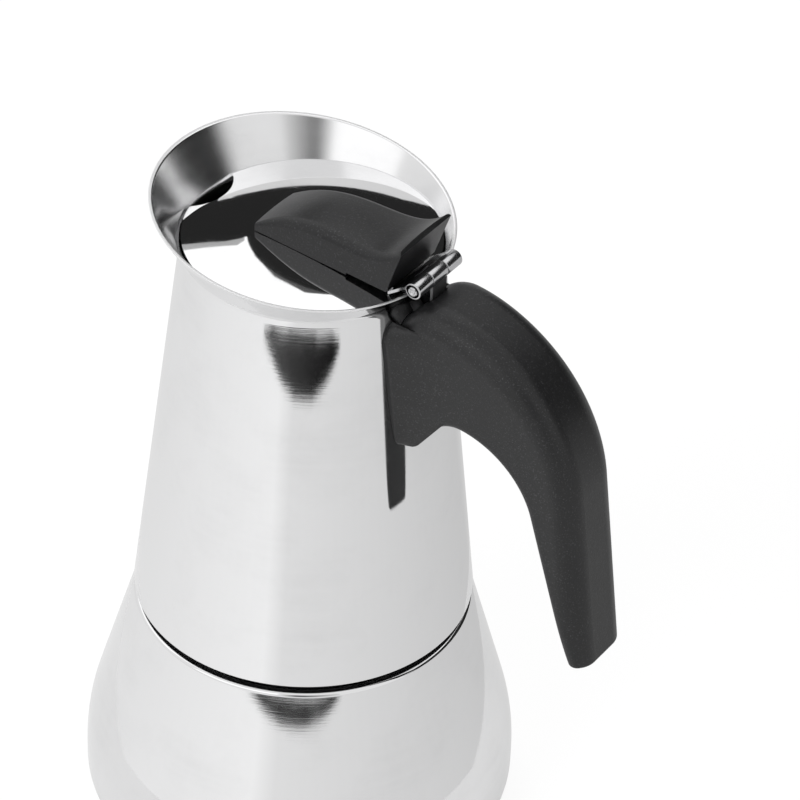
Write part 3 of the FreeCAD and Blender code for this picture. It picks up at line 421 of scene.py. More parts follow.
def moulded_grain():
    """Fine spark-eroded grain of a moulded surface, with worn and dusty patches."""
    group, start, end = effect(
        "Moulded grain",
        [("Grains", "NodeSocketFloat", GRAINS)],
        [("Height", "NodeSocketFloat"), ("Shade", "NodeSocketFloat"), ("Fleck", "NodeSocketFloat")],
    )
    place = group.nodes.new("ShaderNodeTexCoord").outputs["Object"]
    fine = noise(group, place, scale=start.outputs["Grains"], detail=3.0)
    patch = noise(group, place, scale=60.0, detail=4.0, roughness=0.6)
    cells = group.nodes.new("ShaderNodeTexVoronoi")
    group.links.new(place, cells.inputs["Vector"])
    coarse = math_node(group, "MULTIPLY", start.outputs["Grains"], PITS)
    group.links.new(coarse, cells.inputs["Scale"])
    pits = spread(group, cells.outputs["Distance"], low=0.0, high=0.5)
    height = math_node(group, "ADD", fine, math_node(group, "MULTIPLY", pits, PIT_DEPTH))
    group.links.new(height, end.inputs["Height"])
    group.links.new(spread(group, patch, low=0.3, high=0.7), end.inputs["Shade"])
    group.links.new(spread(group, fine, low=0.58, high=0.70), end.inputs["Fleck"])
    return group


def turned_rings():
    """Rings left by a turning tool round the part's axis."""
    group, start, end = effect(
        "Turned rings", [("Rings", "NodeSocketFloat", RINGS)], [("Height", "NodeSocketFloat")]
    )
    place = group.nodes.new("ShaderNodeTexCoord").outputs["Object"]
    apart = group.nodes.new("ShaderNodeSeparateXYZ")
    group.links.new(place, apart.inputs[0])
    across = math_node(group, "MULTIPLY", apart.outputs["X"], apart.outputs["X"])
    along = math_node(group, "MULTIPLY", apart.outputs["Y"], apart.outputs["Y"])
    radius = math_node(group, "SQRT", math_node(group, "ADD", across, along))
    turn = math_node(group, "MULTIPLY", radius, start.outputs["Rings"])
    line = group.nodes.new("ShaderNodeCombineXYZ")
    group.links.new(turn, line.inputs["X"])
    fine = noise(group, line.outputs[0], scale=1.0, detail=4.0, roughness=0.7)
    group.links.new(fine, end.inputs["Height"])
    return group


EFFECTS = {}


def use(tree, name, **values):
    """Place a shared effect in a material."""
    node = tree.nodes.new("ShaderNodeGroup")
    node.node_tree = EFFECTS[name]
    for socket, number in values.items():
        node.inputs[socket].default_value = number
    return node.outputs


# Materials


def blank(name):
    material = bpy.data.materials.new(name)
    material.use_nodes = True
    tree = material.node_tree
    return material, tree, tree.nodes["Principled BSDF"]


def bump(tree, shader, height, strength, distance):
    node = tree.nodes.new("ShaderNodeBump")
    node.inputs["Strength"].default_value = strength
    node.inputs["Distance"].default_value = distance
    tree.links.new(height, node.inputs["Height"])
    tree.links.new(node.outputs["Normal"], shader.inputs["Normal"])


def tinted(tree, mask, first, last):
    """A colour between two, by a mask."""
    node = tree.nodes.new("ShaderNodeMix")
    node.data_type = "RGBA"
    tree.links.new(mask, node.inputs["Factor"])
    node.inputs["A"].default_value = (*first, 1.0)
    node.inputs["B"].default_value = (*last, 1.0)
    return node.outputs["Result"]


def toned(colour, share):
    """A colour with its brightness times a share."""
    return tuple(part * share for part in colour)


def worn_from(tree, mask, roughness, more):
    """A roughness that grows with a mask."""
    return spread(tree, mask, low=0.0, high=1.0, to_low=roughness, to_high=roughness + more)


def steel(name, colour, roughness, stretch, depth, smudge=0.04, size=SMUDGES):
    """Steel with brush marks, smudges and light scratches."""
    material, tree, shader = blank(name)
    shader.inputs["Metallic"].default_value = 1.0
    marks = use(tree, "Brush marks", Stretch=stretch)
    wear = use(tree, "Handling marks", Size=size)
    banded = spread(tree, marks["Bands"], low=0.0, high=1.0, to_low=0.5, to_high=1.0)
    stain = math_node(tree, "MULTIPLY", wear["Smudge"], banded)
    tree.links.new(tinted(tree, stain, colour, toned(colour, STEEL_STAIN)), shader.inputs["Base Color"])
    haze = worn_from(tree, wear["Smudge"], roughness, smudge)
    scratch = math_node(tree, "MULTIPLY", wear["Scratch"], STEEL_SCRATCH)
    streak = math_node(tree, "MULTIPLY", marks["Bands"], roughness * STEEL_STREAK)
    streaked = math_node(tree, "ADD", math_node(tree, "ADD", haze, scratch), streak)
    tree.links.new(streaked, shader.inputs["Roughness"])
    bump(tree, shader, marks["Height"], depth, BRUSH_HEIGHT)
    return material


def turned_metal(name, colour, roughness, rings, depth):
    """Metal finished on a lathe."""
    material, tree, shader = blank(name)
    shader.inputs["Metallic"].default_value = 1.0
    lines = use(tree, "Turned rings", Rings=rings)
    wear = use(tree, "Handling marks", Size=TURNED_SMUDGE_SIZE)
    base = tinted(tree, wear["Smudge"], colour, toned(colour, TURNED_STAIN))
    tree.links.new(base, shader.inputs["Base Color"])
    rough = worn_from(tree, wear["Smudge"], roughness, TURNED_SMUDGE)
    tree.links.new(rough, shader.inputs["Roughness"])
    bump(tree, shader, lines["Height"], depth, GRAIN_HEIGHT)
    return material


def plastic(name, colour, grains, depth):
    """Charcoal moulded plastic with a fine grain."""
    material, tree, shader = blank(name)
    grain = use(tree, "Moulded grain", Grains=grains)
    base = tinted(tree, grain["Shade"], colour, toned(colour, WORN))
    fleck = tree.nodes.new("ShaderNodeMix")
    fleck.data_type = "RGBA"
    tree.links.new(math_node(tree, "MULTIPLY", grain["Fleck"], FLECK_SHARE), fleck.inputs["Factor"])
    tree.links.new(base, fleck.inputs["A"])
    fleck.inputs["B"].default_value = (*toned(colour, FLECK), 1.0)
    tree.links.new(fleck.outputs["Result"], shader.inputs["Base Color"])
    shader.inputs["Specular IOR Level"].default_value = SHEEN
    gloss = spread(tree, grain["Shade"], low=0.0, high=1.0, to_low=0.34, to_high=0.42)
    tree.links.new(gloss, shader.inputs["Roughness"])
    bump(tree, shader, grain["Height"], depth, GRAIN_HEIGHT)
    return material


def soft(name, colour, roughness, grains, depth):
    """Silicone, fibre and other dull pieces."""
    material, tree, shader = blank(name)
    grain = use(tree, "Moulded grain", Grains=grains)
    base = tinted(tree, grain["Shade"], colour, toned(colour, SOFT_STAIN))
    tree.links.new(base, shader.inputs["Base Color"])
    rough = worn_from(tree, grain["Shade"], roughness, SOFT_SMUDGE)
    tree.links.new(rough, shader.inputs["Roughness"])
    bump(tree, shader, grain["Height"], depth, GRAIN_HEIGHT)
    return material


def dress(material, *names):
    """Give CAD nodes a material."""
    for name in names:
        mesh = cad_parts[name].data
        mesh.materials.clear()
        mesh.materials.append(material)


# Meshes


def piece(name, builder, materials, body):
    """Put a finished bmesh on a body of the pot."""
    bmesh.ops.recalc_face_normals(builder, faces=builder.faces)
    mesh = bpy.data.meshes.new(name)
    builder.to_mesh(mesh)
    builder.free()
    for material in materials:
        mesh.materials.append(material)
    made = bpy.data.objects.new(name, mesh)
    bpy.context.scene.collection.objects.link(made)
    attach(made, body)
    return made


def turn_profile(profile, around):
    """Sweep a closed profile round Z. profile(angle) gives the (radius, height) points of each finish."""
    builder = bmesh.new()
    rings = []
    for step in range(around):
        angle = 2 * math.pi * step / around
        spot = (math.cos(angle), math.sin(angle))
        sides = profile(angle)
        rings.append([builder.verts.new((r * spot[0], r * spot[1], z)) for side in sides for r, z in side])
    finishes = [finish for finish, side in enumerate(sides) for _ in side]
    count = len(finishes)
    for step in range(around):
        here, there = rings[step], rings[(step + 1) % around]
        for row in range(count):
            following = (row + 1) % count
            face = builder.faces.new((here[row], there[row], there[following], here[following]))
            face.material_index = finishes[row]
    return builder


def smoothed(builder, angle):
    """Shade the faces smooth, and break the shading at corners sharper than an angle."""
    for face in builder.faces:
        face.smooth = True
    for edge in builder.edges:
        edge.smooth = edge.calc_face_angle(0.0) < angle
    return builder


def between(first, last, share):
    return first + (last - first) * share


def arc(centre, radius, first, last, count):
    """Points on a part of a circle, angles in degrees."""
    points = []
    for step in range(count + 1):
        turn = math.radians(first + (last - first) * step / count)
        points.append((centre[0] + radius * math.cos(turn), centre[1] + radius * math.sin(turn)))
    return points


def straight(first, last, count):
    """Points between two, without the first."""
    return [
        (first[0] + (last[0] - first[0]) * step / count, first[1] + (last[1] - first[1]) * step / count)
        for step in range(1, count + 1)
    ]


def walled(first, last, count):
    """Points between two, without the first, with a close row beside each end."""
    near, far = toward(first, last, GUARD), toward(last, first, GUARD)
    return [near] + straight(near, far, count) + [last]


def eased(first, corner, last, count):
    """A rounded corner that leaves first and meets last along their lines to the corner."""
    points = []
    for step in range(count + 1):
        t = step / count
        weights = ((1 - t) ** 2, 2 * t * (1 - t), t**2)
        points.append(
            tuple(sum(w * p[axis] for w, p in zip(weights, (first, corner, last))) for axis in (0, 1))
        )
    return points


def toward(start, end, distance):
    share = distance / math.dist(start, end)
    return (start[0] + (end[0] - start[0]) * share, start[1] + (end[1] - start[1]) * share)


def rim_point(neck, angle):
    """Where a flared wall meets the sloping rim at an angle round the jug."""
    tilt = math.cos(angle) * math.tan(RIM_SLOPE)
    slope = math.tan(FLARE)
    height = (RIM_ON_AXIS - tilt * (neck[0] - slope * neck[1])) / (1 + tilt * slope)
    return (neck[0] + slope * (height - neck[1]), height)


def jug_profile(bend):
    """Both faces of the jug's wall, from its foot to the flared rim and back."""
    across = JUG_WALL * math.hypot(1, JUG_TAPER)
    flare_across = JUG_WALL / math.cos(FLARE)
    inner_rise = (flare_across - across) / (math.tan(FLARE) + JUG_TAPER)
    inner_height = JUG_NECK + inner_rise
    outer_neck = (JUG_NECK_RADIUS, JUG_NECK)
    inner_neck = (JUG_RADIUS - across - JUG_TAPER * (inner_height - SEAM), inner_height)
    outer_foot = (JUG_RADIUS, SEAM)
    inner_foot = (JUG_RADIUS - across, SEAM)
    foot_under = toward(outer_foot, inner_foot, JUG_HEM)
    foot_up = toward(outer_foot, outer_neck, JUG_HEM)

    def profile(angle):
        outer_rim = rim_point(outer_neck, angle)
        inner_rim = rim_point(inner_neck, angle)
        low = toward(outer_neck, outer_foot, bend)
        high = toward(outer_neck, outer_rim, bend)
        low_in = toward(inner_neck, inner_foot, bend)
        high_in = toward(inner_neck, inner_rim, bend)
        edge_out = toward(outer_rim, outer_neck, JUG_HEM)
        edge_in = toward(inner_rim, inner_neck, JUG_HEM)
        across_out = toward(outer_rim, inner_rim, JUG_HEM)
        across_in = toward(inner_rim, outer_rim, JUG_HEM)
        outer = eased(foot_under, outer_foot, foot_up, EDGE_ROWS)
        outer += walled(outer[-1], low, WALL_ROWS)
        outer += eased(low, outer_neck, high, BEND_ROWS)[1:]
        outer += walled(high, edge_out, COLLAR_ROWS)
        edge = eased(edge_out, outer_rim, across_out, EDGE_ROWS)[1:]
        inner = eased(across_in, inner_rim, edge_in, EDGE_ROWS)
        inner += walled(edge_in, high_in, COLLAR_ROWS)
        inner += eased(high_in, inner_neck, low_in, BEND_ROWS)[1:]
        inner += walled(low_in, inner_foot, WALL_ROWS)
        return outer, edge, inner

    return profile


def boiler_profile():
    """Both faces of the drawn boiler, from its floor to the neck's rim and back."""
    centre = (BOILER_RADIUS - BELLY_ARC, BELLY)
    reach = math.hypot(SHOULDER_RADIUS - centre[0], SHOULDER - BELLY)
    lean = math.degrees(math.atan2(SHOULDER - BELLY, SHOULDER_RADIUS - centre[0]))
    lean -= math.degrees(math.acos(BELLY_ARC / reach))
    heel = (BOILER_RADIUS - HEEL, BASE_TOP + HEEL)
    corner = (SHOULDER_RADIUS, SHOULDER)
    flank_top = arc(centre, BELLY_ARC, lean, lean, 1)[0]
    ledge = (NECK_RADIUS, SHOULDER)
    inner = NECK_RADIUS - BOILER_WALL
    neck_edge, inner_edge = (NECK_RADIUS, NECK_RIM), (inner, NECK_RIM)
    points = [(AXIS_GAP, BASE_TOP)]
    points += straight(points[0], (BOILER_RADIUS - HEEL, BASE_TOP), FLAT_ROWS)
    points += arc(heel, HEEL, -90, 0, HEEL_ROWS)[1:]
    points += arc(centre, BELLY_ARC, 0, lean, BELLY_ROWS)
    points += walled(points[-1], toward(corner, flank_top, SHOULDER_ROUND), FLANK_ROWS)
    points += eased(points[-1], corner, toward(corner, ledge, SHOULDER_ROUND), BEND_ROWS)[1:]
    points += straight(points[-1], toward(ledge, corner, LEDGE_ROUND), LEDGE_ROWS)
    points += eased(points[-1], ledge, (NECK_RADIUS, SHOULDER + LEDGE_ROUND), LEDGE_BEND_ROWS)[1:]
    points += straight(points[-1], (NECK_RADIUS, NECK_RIM - RIM_ROUND), FLAT_ROWS)
    points += eased(points[-1], neck_edge, (NECK_RADIUS - RIM_ROUND, NECK_RIM), EDGE_ROWS)[1:]
    points += eased((inner + RIM_ROUND, NECK_RIM), inner_edge, (inner, NECK_RIM - RIM_ROUND), EDGE_ROWS)
    points += straight(points[-1], (inner, SHOULDER - BOILER_WALL), FLAT_ROWS)
    lean_angle = math.radians(lean)
    under = SHOULDER_RADIUS - BOILER_WALL * (1 - math.sin(lean_angle)) / math.cos(lean_angle)
    points += straight(points[-1], (under, SHOULDER - BOILER_WALL), UNDER_ROWS)
    inside = arc(centre, BELLY_ARC - BOILER_WALL, lean, 0, BELLY_ROWS)
    points += straight(points[-1], inside[0], FLANK_ROWS)
    points += inside[1:]
    points += arc(heel, HEEL - BOILER_WALL, 0, -90, HEEL_ROWS)
    points += straight(points[-1], (AXIS_GAP, BASE_TOP + BOILER_WALL), FLAT_ROWS)
    return points


def skin(builder, sections):
    """A closed solid through rings of points."""
    rows = [[builder.verts.new(point) for point in section] for section in sections]
    count = len(rows[0])
    for here, there in zip(rows, rows[1:]):
        for item in range(count):
            following = (item + 1) % count
            builder.faces.new((here[item], there[item], there[following], here[following]))
    for end in (rows[0], rows[-1]):
        builder.faces.new(end)


def ridge(pitch, height):
    """A helical thread ridge on the boiler's neck, fading in and out at its ends."""
    low, high = SEAM + THREAD_MARGIN, NECK_RIM - THREAD_MARGIN
    turns = (high - low) / pitch
    width, flat = THREAD_HALF_WIDTH, THREAD_HALF_WIDTH * THREAD_CREST_SHARE
    sections = []
    for step in range(int(turns * THREAD_AROUND) + 1):
        turn = step / THREAD_AROUND
        fade = min(1.0, THREAD_FADE_RATE * min(turn, turns - turn))
        crest = NECK_RADIUS + height * (2.0 * fade - 1.0 if fade < 0.5 else fade)
        level = low + pitch * turn
        angle = 2 * math.pi * turn
        outline = (
            (NECK_RADIUS - THREAD_SINK, level - width),
            (NECK_RADIUS, level - width),
            (crest, level - flat),
            (crest, level + flat),
            (NECK_RADIUS, level + width),
            (NECK_RADIUS - THREAD_SINK, level + width),
        )
        sections.append([(r * math.cos(angle), r * math.sin(angle), z) for r, z in outline])
    builder = bmesh.new()
    skin(builder, sections)
    return smoothed(builder, THREAD_CORNER)


def sleeve_profile(bore, radius, first, last):
    """A tube along the hinge with softened ends, as (radius, distance along the hinge) points."""
    narrow = radius - HINGE_SOFTENING
    near, far = first + HINGE_SOFTENING, last - HINGE_SOFTENING
    points = [(bore, first), (narrow, first)]
    points += eased((narrow, first), (radius, first), (radius, near), KNUCKLE_EDGE_ROWS)[1:]
    points += straight((radius, near), (radius, far), KNUCKLE_ROWS)
    points += eased((radius, far), (radius, last), (narrow, last), KNUCKLE_EDGE_ROWS)[1:]
    points.append((bore, last))
    return points


def rivet_profile(radius, half):
    """A pin whose ends are dished and turned over a little, as (radius, distance along the hinge) points."""
    lip, dish, flare = 0.2 * MM, 0.25 * MM, 0.25 * MM
    middle, dish_radius, land_radius, tuck = 0.05 * MM, radius * 0.45, radius * 0.8, 1.5 * lip
    end = [
        (middle, half - dish),
        (dish_radius, half - dish),
        (land_radius, half),
        (radius + flare - lip, half),
        (radius + flare, half - lip),
        (radius, half - tuck),
    ]
    return [(r, -y) for r, y in end] + [(r, y) for r, y in reversed(end)]


def hinge_turning(points):
    """Sweep a closed profile round the hinge's axis."""
    builder = turn_profile(lambda angle: (points,), HINGE_AROUND)
    level = Matrix.Rotation(math.radians(-90), 3, "X")
    bmesh.ops.rotate(builder, verts=builder.verts, cent=(0, 0, 0), matrix=level)
    bmesh.ops.translate(builder, verts=builder.verts, vec=HINGE_CENTRE)
    return smoothed(builder, HINGE_CORNER)


def root_half_width(height):
    """Half the width of the handle's root where it meets the jug."""
    for (low, narrow), (high, wide) in zip(ROOT_OUTLINE, ROOT_OUTLINE[1:]):
        if height <= high:
            return between(narrow, wide, (height - low) / (high - low))
    return ROOT_OUTLINE[-1][1]


def root_section(height, side):
    """Level section of the root's flare on one side, from the jug out along the handle's flank and back."""
    radius = JUG_RADIUS - JUG_TAPER * (height - SEAM) + ROOT_FIT
    half = root_half_width(height)
    rise = height - ROOT_OUTLINE[0][0]
    turn = max(0.0, 1.0 - rise / ROOT_FOOT_ROUND)
    foot = ROOT_FOOT_REACH + ROOT_FOOT_SLOPE * rise - ROOT_FOOT_ROUND * (1.0 - math.sqrt(1.0 - turn**2))
    reach = min(ROOT_REACH, foot)
    inside = FLANK - ROOT_SINK
    on_wall = [(math.sqrt(radius**2 - y**2), y) for y in (half, inside, between(inside, half, 0.5))]
    middle = between(on_wall[0][0], reach, 0.5)
    points = eased(on_wall[0], (middle, FLANK), (reach, FLANK), ROOT_STEPS)
    points += [(reach, inside), *on_wall[1:]]
    return [(x, side * y, height) for x, y in points]


def root_flare():
    """Both flanks of the handle's root, spread out to the jug's wall."""
    builder = bmesh.new()
    first, last = ROOT_OUTLINE[0][0], ROOT_OUTLINE[-1][0]
    heights = [between(first, last, step / ROOT_ROWS) for step in range(ROOT_ROWS + 1)]
    for side in (-1, 1):
        skin(builder, [root_section(height, side) for height in heights])
    return smoothed(builder, SHELL_CORNER)


# Operators


class MokaOperator:
    """What every operator of the pot shares."""

    bl_options = {"REGISTER", "UNDO"}

    @property
    def pot(self):
        return bpy.context.scene.moka_pot


class MOKA_OT_effects(MokaOperator, Operator):
    """Make the surface effects that the materials share"""

    bl_idname = "moka.effects"
    bl_label = "Shared effects"

    def execute(self, context):
        EFFECTS["Brush marks"] = brush_marks()
        EFFECTS["Handling marks"] = handling_marks()
        EFFECTS["Moulded grain"] = moulded_grain()
        EFFECTS["Turned rings"] = turned_rings()
        return {"FINISHED"}


class MOKA_OT_jug(MokaOperator, Operator):
    """Turn the polished jug shell with its rounded collar bend and rim"""

    bl_idname = "moka.jug"
    bl_label = "Jug"

    def execute(self, context):
        finish, shape = self.pot.steel, self.pot.shape
        colour, depth = finish.shell_colour, finish.brush_depth
        polished = steel("jug_steel", colour, finish.shell_roughness, WHEEL_BRUSHED, depth)
        satin = steel("jug_satin", colour, finish.satin_roughness, WHEEL_BRUSHED, depth)
        trimmed = steel("jug_rim", colour, roughness=0.45, stretch=TRIMMED, depth=0.3)
        builder = turn_profile(jug_profile(shape.neck_bend), shape.around)
        smoothed(builder, SHELL_CORNER)
        made = piece("jug_polished", builder, [polished, trimmed, satin], "jug")
        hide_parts("jug_shell")
        return {"FINISHED"}


class MOKA_OT_boiler(MokaOperator, Operator):
    """Turn the polished boiler shell and cut the thread of its neck"""

    bl_idname = "moka.boiler"
    bl_label = "Boiler"

    def execute(self, context):
        finish, shape = self.pot.steel, self.pot.shape
        colour, depth = finish.shell_colour, finish.brush_depth
        polished = steel("boiler_steel", colour, finish.shell_roughness, WHEEL_BRUSHED, depth)
        points = boiler_profile()
        builder = turn_profile(lambda angle: (points,), shape.around)
        smoothed(builder, SHELL_CORNER)
        made = piece("boiler_polished", builder, [polished], "boiler")
        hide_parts("boiler_shell")
        thread = ridge(shape.thread_pitch, shape.thread_height)
        piece("neck_thread", thread, [polished], "boiler")
        base = turned_metal("base_steel", finish.inner_colour, roughness=0.22, rings=2200.0, depth=0.4)
        dress(base, "base_disc")
        return {"FINISHED"}


class MOKA_OT_inside(MokaOperator, Operator):
    """Finish the funnel, the filter, the column and the jug's floor"""

    bl_idname = "moka.inside"
    bl_label = "Inner pieces"

    def execute(self, context):
        finish = self.pot.steel
        colour, silicone = finish.inner_colour, self.pot.small.silicone
        satin = steel("satin_steel", colour, roughness=0.2, stretch=SATIN_BRUSHED, depth=0.4, smudge=0.1)
        spun = turned_metal("spun_steel", colour, roughness=0.2, rings=1800.0, depth=0.35)
        dress(satin, "funnel_cup", "funnel_tube", "column_tube", "column_cap", "valve_boss")
        # Painted shade: the thread ring is painted nearly black to stand for the shade in the narrow gap
        # between jug and boiler, which the boiler's ledge reflects.
        dark = toned(colour, share=0.06)
        thread = steel("thread_ring_painted_shade", dark, roughness=0.5, stretch=SATIN_BRUSHED, depth=0.1, smudge=0.1)
        dress(thread, "thread_ring")
        dress(spun, "basket_sieve", "filter_plate", "jug_floor")
        dress(soft("silicone", silicone, roughness=0.45, grains=1500.0, depth=0.2), "gasket")
        return {"FINISHED"}


class MOKA_OT_valve(MokaOperator, Operator):
    """Finish the brass safety valve, its washer and its spring"""

    bl_idname = "moka.valve"
    bl_label = "Safety valve"

    def execute(self, context):
        small = self.pot.small
        brass = turned_metal("valve_brass", small.brass, roughness=0.2, rings=3000.0, depth=0.35)
        dress(brass, "valve_body", "valve_plunger", "valve_cap")
        dress(soft("washer_fibre", small.fibre, roughness=0.7, grains=1800.0, depth=0.5), "valve_washer")
        wire = steel("spring_wire", self.pot.steel.hinge_colour, roughness=0.22, stretch=ROLLED, depth=0.3)
        dress(wire, "valve_spring")
        return {"FINISHED"}


class MOKA_OT_lid(MokaOperator, Operator):
    """Finish the mirror polished lid"""

    bl_idname = "moka.lid"
    bl_label = "Lid"

    def execute(self, context):
        colour = self.pot.steel.lid_colour
        mirror = steel("lid_mirror", colour, roughness=0.016, stretch=LID_BRUSHED, depth=0.01, smudge=0.015)
        dress(mirror, "lid_plate")
        return {"FINISHED"}


class MOKA_OT_hinge(MokaOperator, Operator):
    """Finish the hinge, the brackets and the screws"""

    bl_idname = "moka.hinge"
    bl_label = "Hinge and screws"

    def execute(self, context):
        colour, hinge = self.pot.steel.hinge_colour, self.pot.hinge
        rolled = {"stretch": ROLLED, "depth": 0.5, "smudge": 0.1, "size": 200.0}
        bright = steel("hinge_bright", colour, roughness=0.16, **rolled)
        dress(bright, "lid_leaf", "handle_bracket")
        # Painted shade: the strap under the hinge is a darker, rougher copy of the hinge steel, standing for
        # the shadow it sits in.
        dress(steel("strap_painted_shade", toned(colour, share=0.4), roughness=0.4, **rolled), "hinge_bracket")
        inner, outer = hinge.knuckle_half + hinge.knuckle_gap, hinge.barrel_half
        bore = hinge.pin_radius + KNUCKLE_FIT
        for name, body, first, last in (
            ("lid_knuckle_front", "lid", -outer, -inner),
            ("lid_knuckle_back", "lid", inner, outer),
            ("bracket_knuckle", "jug", -hinge.knuckle_half, hinge.knuckle_half),
        ):
            sleeve = hinge_turning(sleeve_profile(bore, hinge.knuckle_radius, first, last))
            piece(name, sleeve, [bright], body)
        pin = turned_metal("pin_steel", colour, roughness=0.18, rings=6000.0, depth=0.3)
        rivet = hinge_turning(rivet_profile(hinge.pin_radius, hinge.pin_half))
        made = piece("hinge_pin_riveted", rivet, [pin], "lid")
        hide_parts("hinge_pin")
        screw = turned_metal("screw_steel", colour, roughness=0.22, rings=5000.0, depth=0.4)
        dress(screw, "handle_screw", "knob_screw", "knob_washer")
        return {"FINISHED"}


class MOKA_OT_grips(MokaOperator, Operator):
    """Finish the moulded handle and the lid's knob"""

    bl_idname = "moka.grips"
    bl_label = "Handle and knob"

    def execute(self, context):
        finish = self.pot.plastic
        moulded = plastic("grip_plastic", finish.colour, finish.grain, finish.depth)
        dress(moulded, "handle", "knob")
        piece("handle_root_flare", root_flare(), [moulded], "jug")
        return {"FINISHED"}


def lamp(name, place, width, height, power):
    """A soft lamp that looks at the lid and doesn't show in metal."""
    data = bpy.data.lights.new(name, "AREA")
    data.shape = "RECTANGLE"
    data.size = width
    data.size_y = height
    data.energy = power
    made = bpy.data.objects.new(name, data)
    made.location = place
    made.rotation_mode = "QUATERNION"
    made.rotation_quaternion = (LID_CENTRE - place).to_track_quat("-Z", "Y")
    made.visible_glossy = False
    bpy.context.scene.collection.objects.link(made)


def bearing(azimuth, elevation, distance):
    """A place as seen from the pot's lid. Azimuth 0 is the front, 90 the handle's side."""
    turn, lift = math.radians(azimuth), math.radians(elevation)
    level = math.cos(lift)
    return LID_CENTRE + distance * Vector((math.sin(turn) * level, -math.cos(turn) * level, math.sin(lift)))


def metal_rays(tree):
    """The kind of ray that arrives, and a mask of those that come by way of metal."""
    path = tree.nodes.new("ShaderNodeLightPath").outputs
    return path, math_node(tree, "MAXIMUM", path["Is Glossy Ray"], path["Is Transmission Ray"])


def on_stage(name, builder, material):
    """Put a finished bmesh on the stage round the pot."""
    mesh = bpy.data.meshes.new(name)
    builder.to_mesh(mesh)
    builder.free()
    mesh.materials.append(material)
    made = bpy.data.objects.new(name, mesh)
    bpy.context.scene.collection.objects.link(made)
    return made


def reflected(name, rows):
    """A studio card that shows only in polished metal and gloss. rows hold (place, tone) pairs."""
    material, tree, shader = blank(name)
    tree.nodes.remove(shader)
    glow = tree.nodes.new("ShaderNodeEmission")
    shade = tree.nodes.new("ShaderNodeVertexColor")
    shade.layer_name = "tone"
    tree.links.new(shade.outputs["Color"], glow.inputs["Color"])
    tree.links.new(glow.outputs[0], tree.nodes["Material Output"].inputs["Surface"])
    builder = bmesh.new()
    layer = builder.verts.layers.float_color.new("tone")
    grid = []
    for row in rows:
        grid.append([])
        for place, tone in row:
            corner = builder.verts.new(place)
            corner[layer] = (tone, tone, tone, 1.0)
            grid[-1].append(corner)
    for lower, upper in zip(grid, grid[1:]):
        for left in range(len(lower) - 1):
            builder.faces.new((lower[left], lower[left + 1], upper[left + 1], upper[left]))
    made = on_stage(name, builder, material)
    made.visible_camera = False
    made.visible_diffuse = False
    made.visible_shadow = False
    made.visible_transmission = False


def brow():
    """A quarter of an ellipse, from its top down to its right end."""
    curve = [math.radians(90 - 90 * step / CURVE_STEPS) for step in range(CURVE_STEPS + 1)]
    centre, span = BROW_CENTRE, BROW_SPAN
    return tuple(
        (centre[0] + span[0] * math.cos(turn), centre[1] + span[1] * math.sin(turn)) for turn in curve
    )


def dip():
    """A parabola, open upwards."""
    turns = [between(*DIP_TURNS, step / CURVE_STEPS) for step in range(CURVE_STEPS + 1)]
    return tuple((turn, DIP_CENTRE[1] + DIP_CURVE * (turn - DIP_CENTRE[0]) ** 2) for turn in turns)


def screen(name, low, skyline, distance, tone, last_tone):
    """A curved screen from a low elevation up to a skyline of (azimuth, elevation) points."""
    columns = []
    for (first, rise), (last, fall) in zip(skyline, skyline[1:]):
        steps = max(1, int(abs(last - first) / COLUMN_WIDTH))
        for step in range(steps):
            columns.append((between(first, last, step / steps), between(rise, fall, step / steps)))
    columns.append(skyline[-1])
    wide = skyline[-1][0] - skyline[0][0]
    lower, upper = [], []
    for turn, lift in columns:
        shade = between(tone, last_tone, (turn - skyline[0][0]) / wide)
        lower.append((bearing(turn, low, distance), shade))
        upper.append((bearing(turn, lift, distance), shade))
    reflected(name, [lower, upper])


def floor_sheet(name, arcs, height, tone, last_tone):
    """A sheet on the floor through arcs round the pot."""
    rows = []
    for first, last, radius in arcs:
        rows.append([])
        for step in range(SHEET_STEPS + 1):
            share = step / SHEET_STEPS
            turn = math.radians(between(first, last, share))
            place = (radius * math.sin(turn), -radius * math.cos(turn), height)
            rows[-1].append((place, between(tone, last_tone, share)))
    reflected(name, rows)


